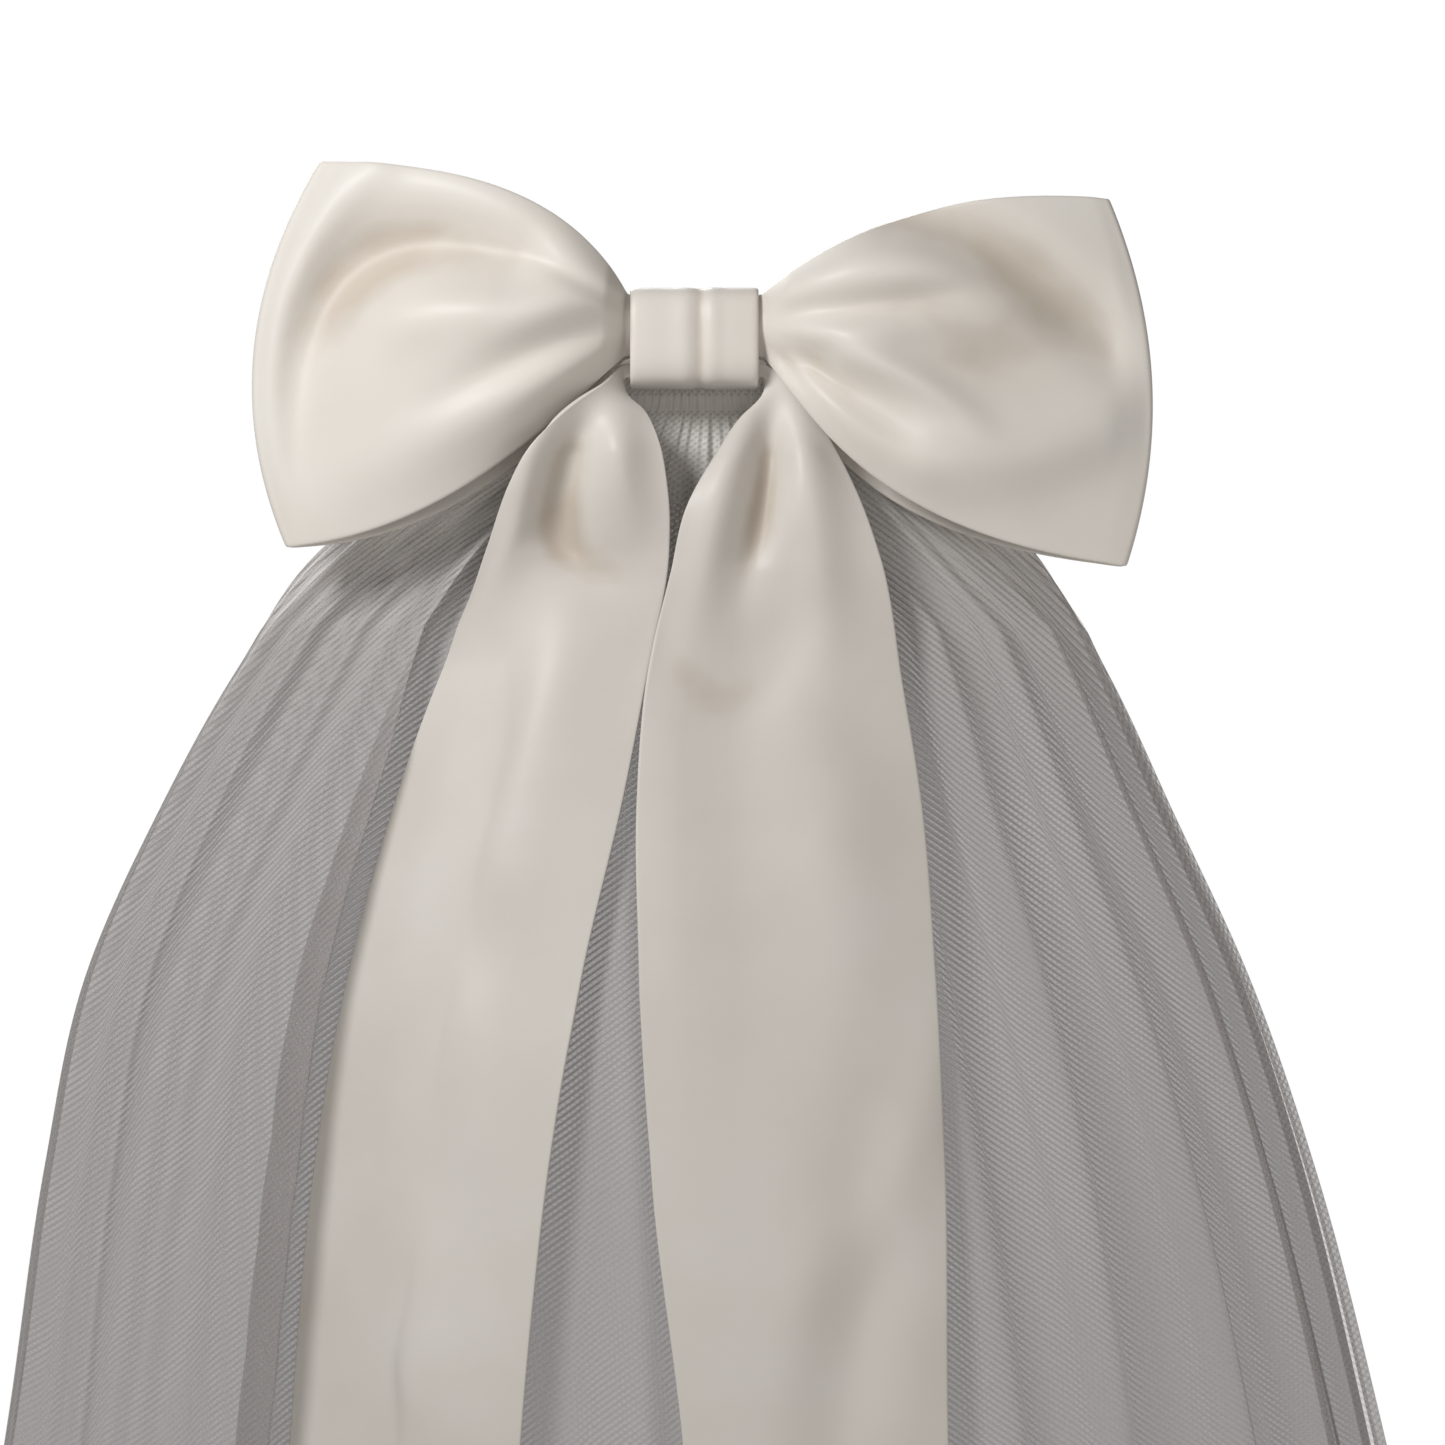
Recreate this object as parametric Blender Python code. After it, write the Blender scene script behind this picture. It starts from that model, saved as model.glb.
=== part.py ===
# A short bridal veil in two layers of net, gathered on a comb, with a satin bow and two satin tails.
# It hangs as it is used. +Z is up, the bow faces -Y, and the veil wraps round a hollow that is open towards
# +Y and at the hem. The origin is the middle of the inner face of the comb's bar.

import bmesh
import bpy
import numpy as np

# Driving sizes, in millimetres. They become metres when a mesh is made.
MM = 0.001
NET_WALL = 1.2
SATIN_WALL = 1.2
SEAM_GAP = 0.3

COMB_LENGTH = 80.0
COMB_BAR_HEIGHT = 6.0
COMB_BAR_DEPTH = 3.0
COMB_TEETH = 16
COMB_TOOTH_LENGTH = 34.0
COMB_TOOTH_SHARE = 0.33
COMB_TOOTH_STEPS = 3
COMB_TOOTH_CURVE = 4.0

KNOT_WIDTH = 32.0
KNOT_HEIGHT = 25.0
KNOT_DEPTH = 19.0
KNOT_CENTRE = (0.0, -19.45, 12.0)
KNOT_SQUARENESS = 3.4

LOOP_END_INSIDE_KNOT = 10.0
LOOP_FOLD_RADIUS = 1.9
LOOP_BELLY = 15.0
LOOP_BACK_BELLY = 3.0
LOOP_OUTER_Y = -3.0

TAIL_ACROSS = (0.0, 0.06, 0.16, 0.27, 0.38, 0.49, 0.60, 0.70, 0.79, 0.87, 0.94, 1.0)
TAIL_STEPS = 2
TAIL_REACH = 4.0
TUCK_SOFTNESS = 0.016

UPPER_LAYER_LENGTH = 450.0
LOWER_LAYER_LENGTH = 600.0
UPPER_LAYER_REACH = 0.90
LAYER_ROWS = 15
HEM_LIFT = 0.10
WRAP_AT_COMB = np.radians(25.0)
WRAP_BELOW = np.radians(80.0)
FOLD_LEAN = 0.5
CURL_OVER_TAIL = 2.2
CURLED_FOLD = 1.2
CURL_PLACE = -0.50
CURL_SPREAD = 0.26
GATHER_HEIGHT = 0.6
GATHER_LENGTH = 42.0

COLOURS = {
    "net": (0.78, 0.76, 0.73, 1.0),
    "satin": (0.82, 0.77, 0.70, 1.0),
    "comb": (0.80, 0.80, 0.79, 1.0),
}

# The hollow form of the hanging net, from the comb down. Heights and widths are in mm; side_shift moves a
# section along X, centre is its Y in the middle, wrap is how far its sides come round towards +Y, and fold is
# the height of a fold as a share of half the section's length.
SECTION_COLUMNS = ("height", "half_width", "side_shift", "centre", "wrap", "fold")
SECTIONS = (
    (8.0, 44.0, 0.0, -4.0, 0.0, 0.020),
    (-5.0, 46.0, 0.0, -4.1, 0.5, 0.022),
    (-18.0, 64.0, -2.0, -6.2, 4.0, 0.030),
    (-40.0, 91.0, -5.0, -10.6, 22.0, 0.042),
    (-70.0, 110.5, -7.5, -15.0, 44.0, 0.050),
    (-108.0, 130.5, -9.5, -19.0, 63.0, 0.052),
    (-150.0, 150.0, -9.5, -24.0, 79.0, 0.052),
    (-200.0, 164.5, -6.5, -29.0, 91.0, 0.051),
    (-265.0, 178.0, -3.0, -34.0, 101.0, 0.050),
    (-350.0, 194.0, -1.0, -39.0, 109.0, 0.049),
    (-450.0, 211.0, 0.0, -43.0, 115.0, 0.048),
    (-530.0, 224.0, 0.0, -45.0, 118.0, 0.047),
    (-600.0, 234.0, 0.0, -46.0, 120.0, 0.046),
)

# The folds of the upper layer, one row each. A fold's crest runs from its place at the comb to its place at
# the hem, where -1 is the left edge and 1 the right. Its height there is a share of the section's fold height,
# and spread is its half width in the same unit as place.
FOLD_COLUMNS = ("at_comb", "at_hem", "high", "low", "spread")
UPPER_FOLDS = (
    (-0.84, -0.83, 0.70, 0.40, 0.032),
    (-0.71, -0.70, 0.95, 0.75, 0.034),
    (-0.590, -0.63, 0.50, 0.60, 0.026),
    (-0.470, -0.522, 1.60, 1.60, 0.026),
    (-0.29, -0.30, 0.45, 0.60, 0.034),
    (-0.175, -0.19, 0.60, 0.45, 0.030),
    (-0.065, -0.06, 0.50, 0.75, 0.032),
    (0.045, 0.06, 0.60, 0.50, 0.028),
    (0.155, 0.17, 0.40, 0.60, 0.034),
    (0.285, 0.29, 0.70, 0.85, 0.034),
    (0.425, 0.40, 0.95, 0.65, 0.032),
    (0.56, 0.56, 0.75, 0.90, 0.036),
    (0.69, 0.70, 0.95, 0.70, 0.032),
    (0.82, 0.82, 0.65, 0.80, 0.034),
)

# The lower layer's folds follow a rule: they are evenly spaced, each shifted and scaled by its own waves.
LOWER_FOLD_COUNT = 15
LOWER_FOLD_SPREAD = 0.035
LOWER_FOLD_HEIGHT = 0.62

# The satin loops, in mm from the knot's centre, with x counted outwards: the edges are cubic curves from the
# knot to the outer corners, and outer_bulge is how far the folded outer edge curves out between its corners.
LOOP_SHAPES = {
    "left": {
        "side": -1.0,
        "top": ((16.4, 10.4), (28.0, 31.5), (50.0, 42.5), (93.5, 44.0)),
        "bottom": ((17.0, -4.6), (33.0, -20.0), (61.0, -50.0), (101.8, -52.5)),
        "outer_bulge": 12.4,
        "back_drop": 2.0,
    },
    "right": {
        "side": 1.0,
        "top": ((16.4, 10.4), (35.0, 25.0), (60.0, 37.5), (103.4, 34.7)),
        "bottom": ((17.0, -4.8), (30.0, -22.0), (44.0, -50.0), (107.8, -57.2)),
        "outer_bulge": 8.6,
        "back_drop": 1.4,
    },
}

# Ridges (positive height) and troughs (negative height) of the satin, in mm from the knot's centre. Each
# follows a curve from start through bend to end, where it dies out, and fades over its width.
CREASE_COLUMNS = ("start_x", "start_z", "bend_x", "bend_z", "end_x", "end_z", "width", "height")
LOOP_CREASES = {
    "left": (
        (-16.0, 8.0, -46.0, 44.0, -96.0, 38.0, 8.0, 3.6),
        (-46.0, 18.0, -102.0, 38.0, -100.0, -44.0, 10.0, -7.8),
        (-80.0, 42.0, -122.0, 4.0, -98.0, -62.0, 6.0, 3.2),
        (-16.0, 5.0, -44.0, 9.0, -88.0, 3.0, 9.5, 5.0),
        (-16.0, 3.5, -34.0, 0.0, -70.0, -22.0, 5.5, -4.6),
        (-16.0, -2.0, -44.0, -12.0, -96.0, -44.0, 9.0, 3.6),
        (-16.0, 6.5, -27.0, 12.0, -46.0, 22.0, 2.6, -1.8),
        (-16.0, -2.5, -26.0, -10.0, -46.0, -24.0, 2.6, -1.6),
    ),
    "right": (
        (16.0, 10.0, 42.0, 22.0, 78.0, 14.0, 7.5, 4.4),
        (16.0, 5.0, 42.0, 4.0, 80.0, 13.0, 4.2, -4.2),
        (16.0, 2.0, 36.0, 0.0, 62.0, 0.0, 7.0, 3.2),
        (56.0, -2.0, 78.0, -8.0, 96.0, -4.0, 10.0, -3.4),
        (16.0, 0.5, 32.0, -7.0, 60.0, -30.0, 5.2, -6.6),
        (52.0, 30.0, 86.0, 22.0, 120.0, -22.0, 8.5, -7.2),
        (38.0, -7.0, 58.0, -10.0, 74.0, -26.0, 4.5, 3.4),
        (16.0, -3.0, 32.0, -24.0, 84.0, -44.0, 8.0, 3.8),
        (60.0, -30.0, 98.0, -34.0, 120.0, -6.0, 9.0, 4.2),
        (16.0, -1.0, 25.0, -10.0, 40.0, -30.0, 2.4, -1.8),
    ),
}

# The satin tails, a row for each station from inside the knot down to the slanted cut end. Both edges are given
# in mm from the knot's centre. held runs from 0, where the tail hangs free, to 1, where it lies on the net.
TAIL_COLUMN_NAMES = ("inner_x", "inner_y", "inner_z", "outer_x", "outer_y", "outer_z", "held")
TAIL_STATIONS = {
    "left": (
        (-11.0, -2.6, -10.4, -11.0, -2.6, -6.6, 0.0),
        (-17.6, -3.4, -10.6, -18.0, -4.4, -7.2, 0.0),
        (-16.6, -4.4, -14.2, -21.2, -9.5, -11.0, 0.0),
        (-12.4, -7.0, -18.2, -29.2, -15.6, -17.2, 0.0),
        (-8.8, -10.5, -25.5, -38.5, -17.6, -25.4, 0.0),
        (-6.4, -12.6, -38.0, -47.0, -18.0, -36.0, 0.1),
        (-6.2, -12.5, -55.0, -56.5, -14.0, -54.0, 0.4),
        (-10.8, -10.0, -81.0, -66.0, -10.0, -81.0, 1.0),
        (-17.2, -10.0, -114.0, -76.5, -10.0, -114.0, 1.0),
        (-27.4, -10.0, -158.0, -87.5, -10.0, -158.0, 1.0),
        (-35.0, -10.0, -202.0, -96.0, -10.0, -202.0, 1.0),
        (-42.5, -10.0, -277.0, -102.0, -10.0, -277.0, 1.0),
        (-46.0, -10.0, -350.0, -106.0, -10.0, -352.0, 1.0),
        (-50.0, -10.0, -405.0, -112.0, -10.0, -432.0, 1.0),
    ),
    "right": (
        (11.0, -2.6, -10.4, 11.0, -2.6, -7.0, 0.0),
        (17.6, -3.0, -10.6, 18.0, -3.2, -7.0, 0.0),
        (16.9, -3.8, -14.2, 22.0, -3.8, -9.4, 0.0),
        (11.4, -6.4, -20.0, 28.0, -4.2, -15.6, 0.0),
        (5.4, -11.0, -29.0, 34.6, -5.4, -26.6, 0.0),
        (-1.4, -15.8, -41.0, 40.6, -8.0, -38.6, 0.1),
        (-6.0, -16.4, -59.0, 47.0, -10.0, -57.0, 0.4),
        (-11.6, -12.0, -85.0, 52.0, -10.0, -85.0, 1.0),
        (-14.2, -10.0, -116.0, 56.8, -10.0, -116.0, 1.0),
        (-13.2, -10.0, -158.0, 60.0, -10.0, -158.0, 1.0),
        (-11.0, -10.0, -203.0, 62.0, -10.0, -203.0, 1.0),
        (-2.2, -10.0, -277.0, 62.5, -10.0, -277.0, 1.0),
        (0.0, -10.0, -350.0, 66.0, -10.0, -352.0, 1.0),
        (-1.0, -10.0, -425.0, 70.0, -10.0, -452.0, 1.0),
    ),
}
TAIL_CREASES = {
    "left": (
        (-25.0, -12.0, -50.0, -66.0, -6.0, -60.0, 6.6, -6.8),
        (-18.0, -9.0, -19.0, -30.0, -15.0, -50.0, 6.0, 4.6),
        (-26.0, -12.0, -48.0, -28.0, -50.0, -72.0, 5.5, 3.2),
        (-30.0, -70.0, -44.0, -100.0, -52.0, -150.0, 12.0, 2.6),
        (-54.0, -148.0, -42.0, -158.0, -20.0, -180.0, 9.0, -3.0),
        (-64.0, -196.0, -56.0, -226.0, -40.0, -236.0, 11.0, -2.6),
        (-92.0, -250.0, -72.0, -246.0, -44.0, -276.0, 11.0, 2.6),
        (-90.0, -322.0, -72.0, -344.0, -46.0, -330.0, 12.0, -2.4),
    ),
    "right": (
        (15.0, -9.0, 4.0, -36.0, 0.0, -80.0, 6.4, 5.0),
        (19.0, -14.0, 20.0, -44.0, 8.0, -66.0, 4.8, -6.2),
        (21.0, -8.0, 35.0, -40.0, 31.0, -88.0, 7.0, 4.4),
        (-8.0, -78.0, 8.0, -108.0, 29.0, -66.0, 6.8, -3.8),
        (30.0, -96.0, 40.0, -126.0, 38.0, -186.0, 12.0, 2.4),
        (64.0, -184.0, 46.0, -218.0, 20.0, -246.0, 8.0, 3.8),
        (44.0, -206.0, 40.0, -252.0, 30.0, -300.0, 10.0, -4.0),
        (6.0, -326.0, 30.0, -346.0, 60.0, -330.0, 12.0, 2.4),
    ),
}


def clear_scene():
    for existing in list(bpy.data.objects):
        bpy.data.objects.remove(existing)


def fabric_or_plastic(name, colour, roughness):
    made = bpy.data.materials.new(name)
    made.use_nodes = True
    shader = made.node_tree.nodes["Principled BSDF"]
    shader.inputs["Base Color"].default_value = colour
    shader.inputs["Roughness"].default_value = roughness
    shader.inputs["Metallic"].default_value = 0.0
    made.diffuse_color = colour
    return made


def table(columns, rows):
    """The rows of a table as named columns."""
    return {name: np.array([row[i] for row in rows], float) for i, name in enumerate(columns)}


def smooth_through(places, values, at):
    """A smooth curve through the values, read at new places."""
    order = np.argsort(places)
    places, values = np.asarray(places, float)[order], np.asarray(values, float)[order]
    slopes = np.gradient(values, places)
    at = np.clip(at, places[0], places[-1])
    left = np.clip(np.searchsorted(places, at, side="right") - 1, 0, len(places) - 2)
    span = places[left + 1] - places[left]
    t = (at - places[left]) / span
    rise = values[left + 1] - values[left]
    ease = t * t * (3 - 2 * t)
    start_slope = slopes[left] * span * t * (1 - t) ** 2
    end_slope = slopes[left + 1] * span * t * t * (t - 1)
    return values[left] + rise * ease + start_slope + end_slope


def cubic(points, t):
    """A point of the cubic curve with four control points."""
    a, b, c, d = (np.asarray(p, float) for p in points)
    t = np.asarray(t, float)[..., None]
    return a * (1 - t) ** 3 + 3 * b * t * (1 - t) ** 2 + 3 * c * t * t * (1 - t) + d * t**3


def crease_height(x, z, rows):
    """The sum of the ridges and troughs at points x, z. Each is highest a third of the way and dies out."""
    total = np.zeros_like(x)
    steps = np.linspace(0.0, 1.0, 41)
    fade = np.sin(np.pi * (0.25 + 0.75 * steps))
    for row in rows:
        start_x, start_z, bend_x, bend_z, end_x, end_z, width, height = row
        line_x = start_x * (1 - steps) ** 2 + 2 * bend_x * steps * (1 - steps) + end_x * steps**2
        line_z = start_z * (1 - steps) ** 2 + 2 * bend_z * steps * (1 - steps) + end_z * steps**2
        away = np.hypot(x[..., None] - line_x, z[..., None] - line_z)
        total += height * (fade * np.exp(-((away / width) ** 2))).max(axis=-1)
    return total


def cloth_wall(name, outer, inner, material, parent, round_about=False):
    """One closed wall of cloth between two grids of points (rows, columns, xyz). With round_about the columns
    meet, as on a ring, and the wall has two rims in place of four edges."""
    rows, columns = outer.shape[:2]
    work = bmesh.new()
    skins = [[[work.verts.new(point * MM) for point in row] for row in skin] for skin in (outer, inner)]
    around = columns if round_about else columns - 1
    for skin in skins:
        for r in range(rows - 1):
            for c in range(around):
                n = (c + 1) % columns
                work.faces.new((skin[r][c], skin[r][n], skin[r + 1][n], skin[r + 1][c]))
    for r in (0, rows - 1):
        for c in range(around):
            n = (c + 1) % columns
            work.faces.new((skins[0][r][c], skins[0][r][n], skins[1][r][n], skins[1][r][c]))
    if not round_about:
        for c in (0, columns - 1):
            for r in range(rows - 1):
                work.faces.new((skins[0][r][c], skins[0][r + 1][c], skins[1][r + 1][c], skins[1][r][c]))
    bmesh.ops.recalc_face_normals(work, faces=work.faces)
    return finished(name, work, material, parent)


def finished(name, work, material, parent):
    mesh = bpy.data.meshes.new(name)
    work.to_mesh(mesh)
    work.free()
    mesh.shade_smooth()
    mesh.set_sharp_from_angle(angle=np.radians(50.0))
    mesh.materials.append(material)
    piece = bpy.data.objects.new(name, mesh)
    bpy.context.scene.collection.objects.link(piece)
    piece.parent = parent
    return piece


def section_value(column, height):
    sections = table(SECTION_COLUMNS, SECTIONS)
    return smooth_through(sections["height"], sections[column], height)


def hanging_point(place, height):
    """A point of the smooth hollow form that the folds rise from, and the directions across and out of it."""
    turn = WRAP_AT_COMB + (WRAP_BELOW - WRAP_AT_COMB) * np.clip(-height / 60.0, 0.0, 1.0)
    angle = place * turn
    half_width = section_value("half_width", height)
    wrap = section_value("wrap", height)
    x = section_value("side_shift", height) + half_width * np.sin(angle) / np.sin(turn)
    y = section_value("centre", height) + wrap * (1 - np.cos(angle)) / (1 - np.cos(turn))
    along_x = half_width * np.cos(angle) / np.sin(turn)
    along_y = wrap * np.sin(angle) / (1 - np.cos(turn))
    length = np.hypot(along_x, along_y)
    across = np.stack([along_x / length, along_y / length], axis=-1)
    outwards = np.stack([across[..., 1], -across[..., 0]], axis=-1)
    return x, y, across, outwards


def half_length(height):
    """Half the length of a section, which the folds' sizes follow."""
    return np.hypot(section_value("half_width", height), 0.55 * section_value("wrap", height))


def crest_places(fold, height):
    """Where a fold's crest lies across the net at each height, and how tall it is there."""
    at_comb, at_hem, high, low, spread = fold
    down = np.clip(-height / UPPER_LAYER_LENGTH, 0.0, 1.0)
    down = down * down * (3 - 2 * down)
    return at_comb + (at_hem - at_comb) * down, high + (low - high) * down


def fold_height(place, height, folds):
    total = np.zeros_like(place * height)
    for fold in folds:
        where, tall = crest_places(fold, height)
        total += tall * np.exp(-(((place - where) / fold[4]) ** 2))
    return total * section_value("fold", height) * half_length(height)


def net_columns(folds, reach, height):
    """Where a row's points lie across the net: five on each fold, and the two edges."""
    crests = np.array([crest_places(fold, height)[0] for fold in folds])
    spreads = np.array([fold[4] for fold in folds])
    middles = (crests[1:] + crests[:-1]) / 2
    before = np.concatenate([[-reach], middles])
    after = np.concatenate([middles, [reach]])
    foot_before = crests - np.minimum(1.7 * spreads, 0.88 * (crests - before))
    foot_after = crests + np.minimum(1.7 * spreads, 0.88 * (after - crests))
    points = [foot_before, crests - 0.75 * spreads, crests, crests + 0.75 * spreads, foot_after]
    sharp = np.array([fold[2] > CURLED_FOLD for fold in folds])
    for aside in (-1.15, -0.38, 0.38, 1.15):
        points.append(np.where(sharp, crests + aside * spreads, np.nan))
    places = np.concatenate([[-reach], np.concatenate(points), [reach]])
    return np.sort(places[~np.isnan(places)])


def lower_folds():
    rows = []
    for i in range(LOWER_FOLD_COUNT):
        even = -0.93 + 1.86 * i / (LOWER_FOLD_COUNT - 1)
        at_comb = even + 0.012 * np.sin(2.4 * i)
        at_hem = even + 0.018 * np.sin(2.4 * i + 0.9)
        high = LOWER_FOLD_HEIGHT * (0.78 + 0.22 * np.cos(1.7 * i + 0.6))
        low = LOWER_FOLD_HEIGHT * (0.80 + 0.20 * np.cos(2.9 * i + 0.2))
        rows.append((at_comb, at_hem, high, low, LOWER_FOLD_SPREAD * (1.0 + 0.12 * np.sin(3.1 * i))))
    return rows


def gathers(height):
    """The height of the fine gathers at the comb, which fade out further down."""
    return GATHER_HEIGHT * np.clip(1.0 + height / GATHER_LENGTH, 0.0, 1.0)


def layer_offset(height):
    """How far the upper layer's floor lies outside the lower layer's floor."""
    room = LOWER_FOLD_HEIGHT * 1.05 * section_value("fold", height) * half_length(height)
    return room + NET_WALL + 1.5 * SEAM_GAP + 2 * gathers(height)


def sideways(place, height, rise):
    """How far a point that rises out of the hollow form is also carried sideways, and how fast that grows.
    All pleats lean a little; beside the left tail the crest curls right over the tail's edge."""
    down = np.clip((-height - 2.0) / 60.0, 0.0, 1.0)
    curl = CURL_OVER_TAIL * np.exp(-(((place - CURL_PLACE) / CURL_SPREAD) ** 2))
    curl = curl * np.clip((-height - 30.0) / 60.0, 0.0, 1.0)
    over = np.maximum(rise - layer_offset(height) - NET_WALL - SATIN_WALL - 3.0, 0.0)
    carried = FOLD_LEAN * down * rise + curl * over**2 / (over + 2.0)
    growth = FOLD_LEAN * down + curl * over * (over + 4.0) / (over + 2.0) ** 2
    return carried, growth


def net_point(place, height, rise):
    """The point that lies rise mm out of the hollow form, carried sideways as the pleats are."""
    x, y, across, outwards = hanging_point(place, height)
    carried, _ = sideways(place, height, rise)
    x = x + rise * outwards[..., 0] + carried * across[..., 0]
    y = y + rise * outwards[..., 1] + carried * across[..., 1]
    return x, y


def leaning_wall(thickness, rise, place, height):
    """The wall's length along the lean, so that a steep flank of a fold isn't too thin."""
    slope = np.gradient(rise, axis=1) / np.maximum(np.gradient(place * half_length(height), axis=1), 0.2)
    _, growth = sideways(place, height, rise)
    return thickness * np.clip(np.hypot(1.0 + growth * slope, slope), 1.0, 4.0)


def net_layer(name, length, reach, folds, offset, material, parent):
    """One layer of net: a folded wall that hangs from the comb, with its hem cut in an arc."""
    top = SECTIONS[0][0]
    levels = top - (top + length) * np.linspace(0.0, 1.0, LAYER_ROWS) ** 1.6
    place = np.array([net_columns(folds, reach, level) for level in levels])
    down = ((top - levels) / length)[:, None]
    height = levels[:, None] + HEM_LIFT * length * np.abs(place) ** 3 * down**2
    zigzag = gathers(height) * np.where(np.arange(place.shape[1]) % 2, 1.0, -1.0)
    zigzag = zigzag * np.clip((reach - np.abs(place)) / 0.1, 0.0, 1.0)
    rise = fold_height(place, height, folds) + offset(height) + NET_WALL + zigzag
    wall = leaning_wall(NET_WALL, rise, place, height)
    grids = []
    for level in (rise, rise - wall):
        x, y = net_point(place, height, level)
        grids.append(np.stack([x, y, height], axis=-1))
    return cloth_wall(name, grids[0], grids[1], material, parent)


def no_offset(height):
    return np.zeros_like(height)


def place_on_net(x, height, rise):
    """Where across the hollow form the point with this x lies, found by halving the range."""
    low, high = np.full_like(x, -1.0), np.full_like(x, 1.0)
    for _ in range(30):
        middle = (low + high) / 2
        found, _ = net_point(middle, height, rise)
        low = np.where(found < x, middle, low)
        high = np.where(found < x, high, middle)
    return (low + high) / 2


def satin_loop(name, shape, creases, material, parent):
    """One loop of the bow: a wide band that leaves the knot, turns back at a fold and returns behind."""
    front_u = np.array([0.0, 0.05, 0.12, 0.2, 0.29, 0.38, 0.48, 0.58, 0.69, 0.8, 0.9, 0.97])
    back_u = np.array([0.96, 0.82, 0.66, 0.5, 0.34, 0.2, 0.1, 0.0])
    fold_angles = np.radians((-90.0, -30.0, 30.0, 90.0))
    v = np.linspace(-1.0, 1.0, 15)
    side = shape["side"]
    low_corner, high_corner = np.array(shape["bottom"][3]), np.array(shape["top"][3])

    def patch(u, v, drop):
        w = (v + 1) / 2
        low, high = cubic(shape["bottom"], u), cubic(shape["top"], u)
        low = low - np.array((0.0, 1.0)) * (drop * np.sin(np.pi * np.clip(u, 0, 1)) ** 1.2)[..., None]
        chord = low_corner + (high_corner - low_corner) * w[..., None]
        edge = chord + np.array((1.0, 0.0)) * (shape["outer_bulge"] * (1 - v**2))[..., None]
        flat = low + (high - low) * w[..., None]
        return flat + (edge - chord) * (u**2)[..., None]

    end_depth = 7.0 - 3.0 * v**2
    rows = []
    for row_v, depth in zip(v, end_depth):
        across = np.full_like(front_u, row_v)
        front = patch(front_u, across, 0.0)
        ease = np.sin(np.pi * front_u)
        belly = LOOP_BELLY * (1 - 0.5 * row_v**2) * ease
        base = -depth + (LOOP_OUTER_Y + depth) * front_u**1.5
        ridges = crease_height(side * front[:, 0], front[:, 1], creases)
        calm = np.clip(front_u / 0.12, 0, 1) * np.clip((1.0 - front_u) / 0.06, 0, 1)
        front_y = base - belly - ridges * calm - LOOP_FOLD_RADIUS * front_u
        outer_point = patch(np.array([1.0]), np.array([row_v]), 0.0)[0]
        fold_x = outer_point[0] - LOOP_FOLD_RADIUS + LOOP_FOLD_RADIUS * np.cos(fold_angles)
        fold_y = LOOP_OUTER_Y + LOOP_FOLD_RADIUS * np.sin(fold_angles)
        back_across = np.full_like(back_u, row_v)
        back = patch(back_u, back_across, shape["back_drop"])
        back_ease = np.sin(np.pi * back_u)
        back_y = depth + (LOOP_OUTER_Y - depth) * back_u**1.5 + LOOP_BACK_BELLY * back_ease
        back_y = back_y + LOOP_FOLD_RADIUS * back_u
        x = np.concatenate([front[:, 0], fold_x, back[:, 0]])
        y = np.concatenate([front_y, fold_y, back_y])
        z = np.concatenate([front[:, 1], np.full(4, outer_point[1]), back[:, 1]])
        inside = np.array([LOOP_END_INSIDE_KNOT])
        x = np.concatenate([inside, x, inside])
        y = np.concatenate([[-depth], y, [depth]])
        z = np.concatenate([z[:1], z, z[-1:]])
        rows.append(np.stack([x, y, z], axis=-1))
    outer = np.array(rows)
    tangent = np.gradient(outer[..., :2], axis=1)
    tangent /= np.linalg.norm(tangent, axis=-1, keepdims=True)
    inward = np.stack([-tangent[..., 1], tangent[..., 0], np.zeros(tangent.shape[:2])], axis=-1)
    inner = outer + inward * SATIN_WALL
    for skin in (outer, inner):
        skin[..., 0] *= side
    piece = cloth_wall(name, outer, inner, material, parent)
    piece.location = tuple(c * MM for c in KNOT_CENTRE)
    return piece


def satin_tail(name, stations, creases, sits, material, parent):
    """One tail: a ribbon that fans out of the knot's side, turns down and lies on the folds of the net."""
    given = table(TAIL_COLUMN_NAMES, stations)
    middle_x = (given["inner_x"] + given["outer_x"]) / 2
    middle_z = (given["inner_z"] + given["outer_z"]) / 2
    along = np.concatenate([[0.0], np.cumsum(np.hypot(np.diff(middle_x), np.diff(middle_z)))])
    between = [np.linspace(low, high, TAIL_STEPS, endpoint=False) for low, high in zip(along, along[1:])]
    at = np.concatenate(between + [along[-1:]])
    column = {key: smooth_through(along, values, at)[:, None] for key, values in given.items()}
    across = np.array(TAIL_ACROSS)[None, :]
    x = column["inner_x"] * (1 - across) + column["outer_x"] * across
    z = column["inner_z"] * (1 - across) + column["outer_z"] * across
    free_y = column["inner_y"] * (1 - across) + column["outer_y"] * across
    ridges = crease_height(x, z, creases)
    started = np.clip((at[:, None] - 11.0) / 17.0, 0.0, 1.0)
    started = started * np.clip(4.0 * across * (1 - across), 0.0, 1.0) ** 0.5
    free_y = KNOT_CENTRE[1] + free_y - ridges * started
    height = z + KNOT_CENTRE[2]
    place, rise = sits(across, height, x, ridges * started)
    lying_x, lying_y = net_point(place, height, rise)
    held = np.clip(column["held"], 0.0, 1.0)
    x = x * (1 - held) + lying_x * held
    y = free_y * (1 - held) + lying_y * held
    front = np.stack([x, y, height], axis=-1)
    out = np.cross(np.gradient(front, axis=0), np.gradient(front, axis=1))
    out = out / np.linalg.norm(out, axis=-1, keepdims=True)
    out = out * -np.sign(out[..., 1].mean())
    return cloth_wall(name, front, front - out * SATIN_WALL, material, parent)


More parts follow.
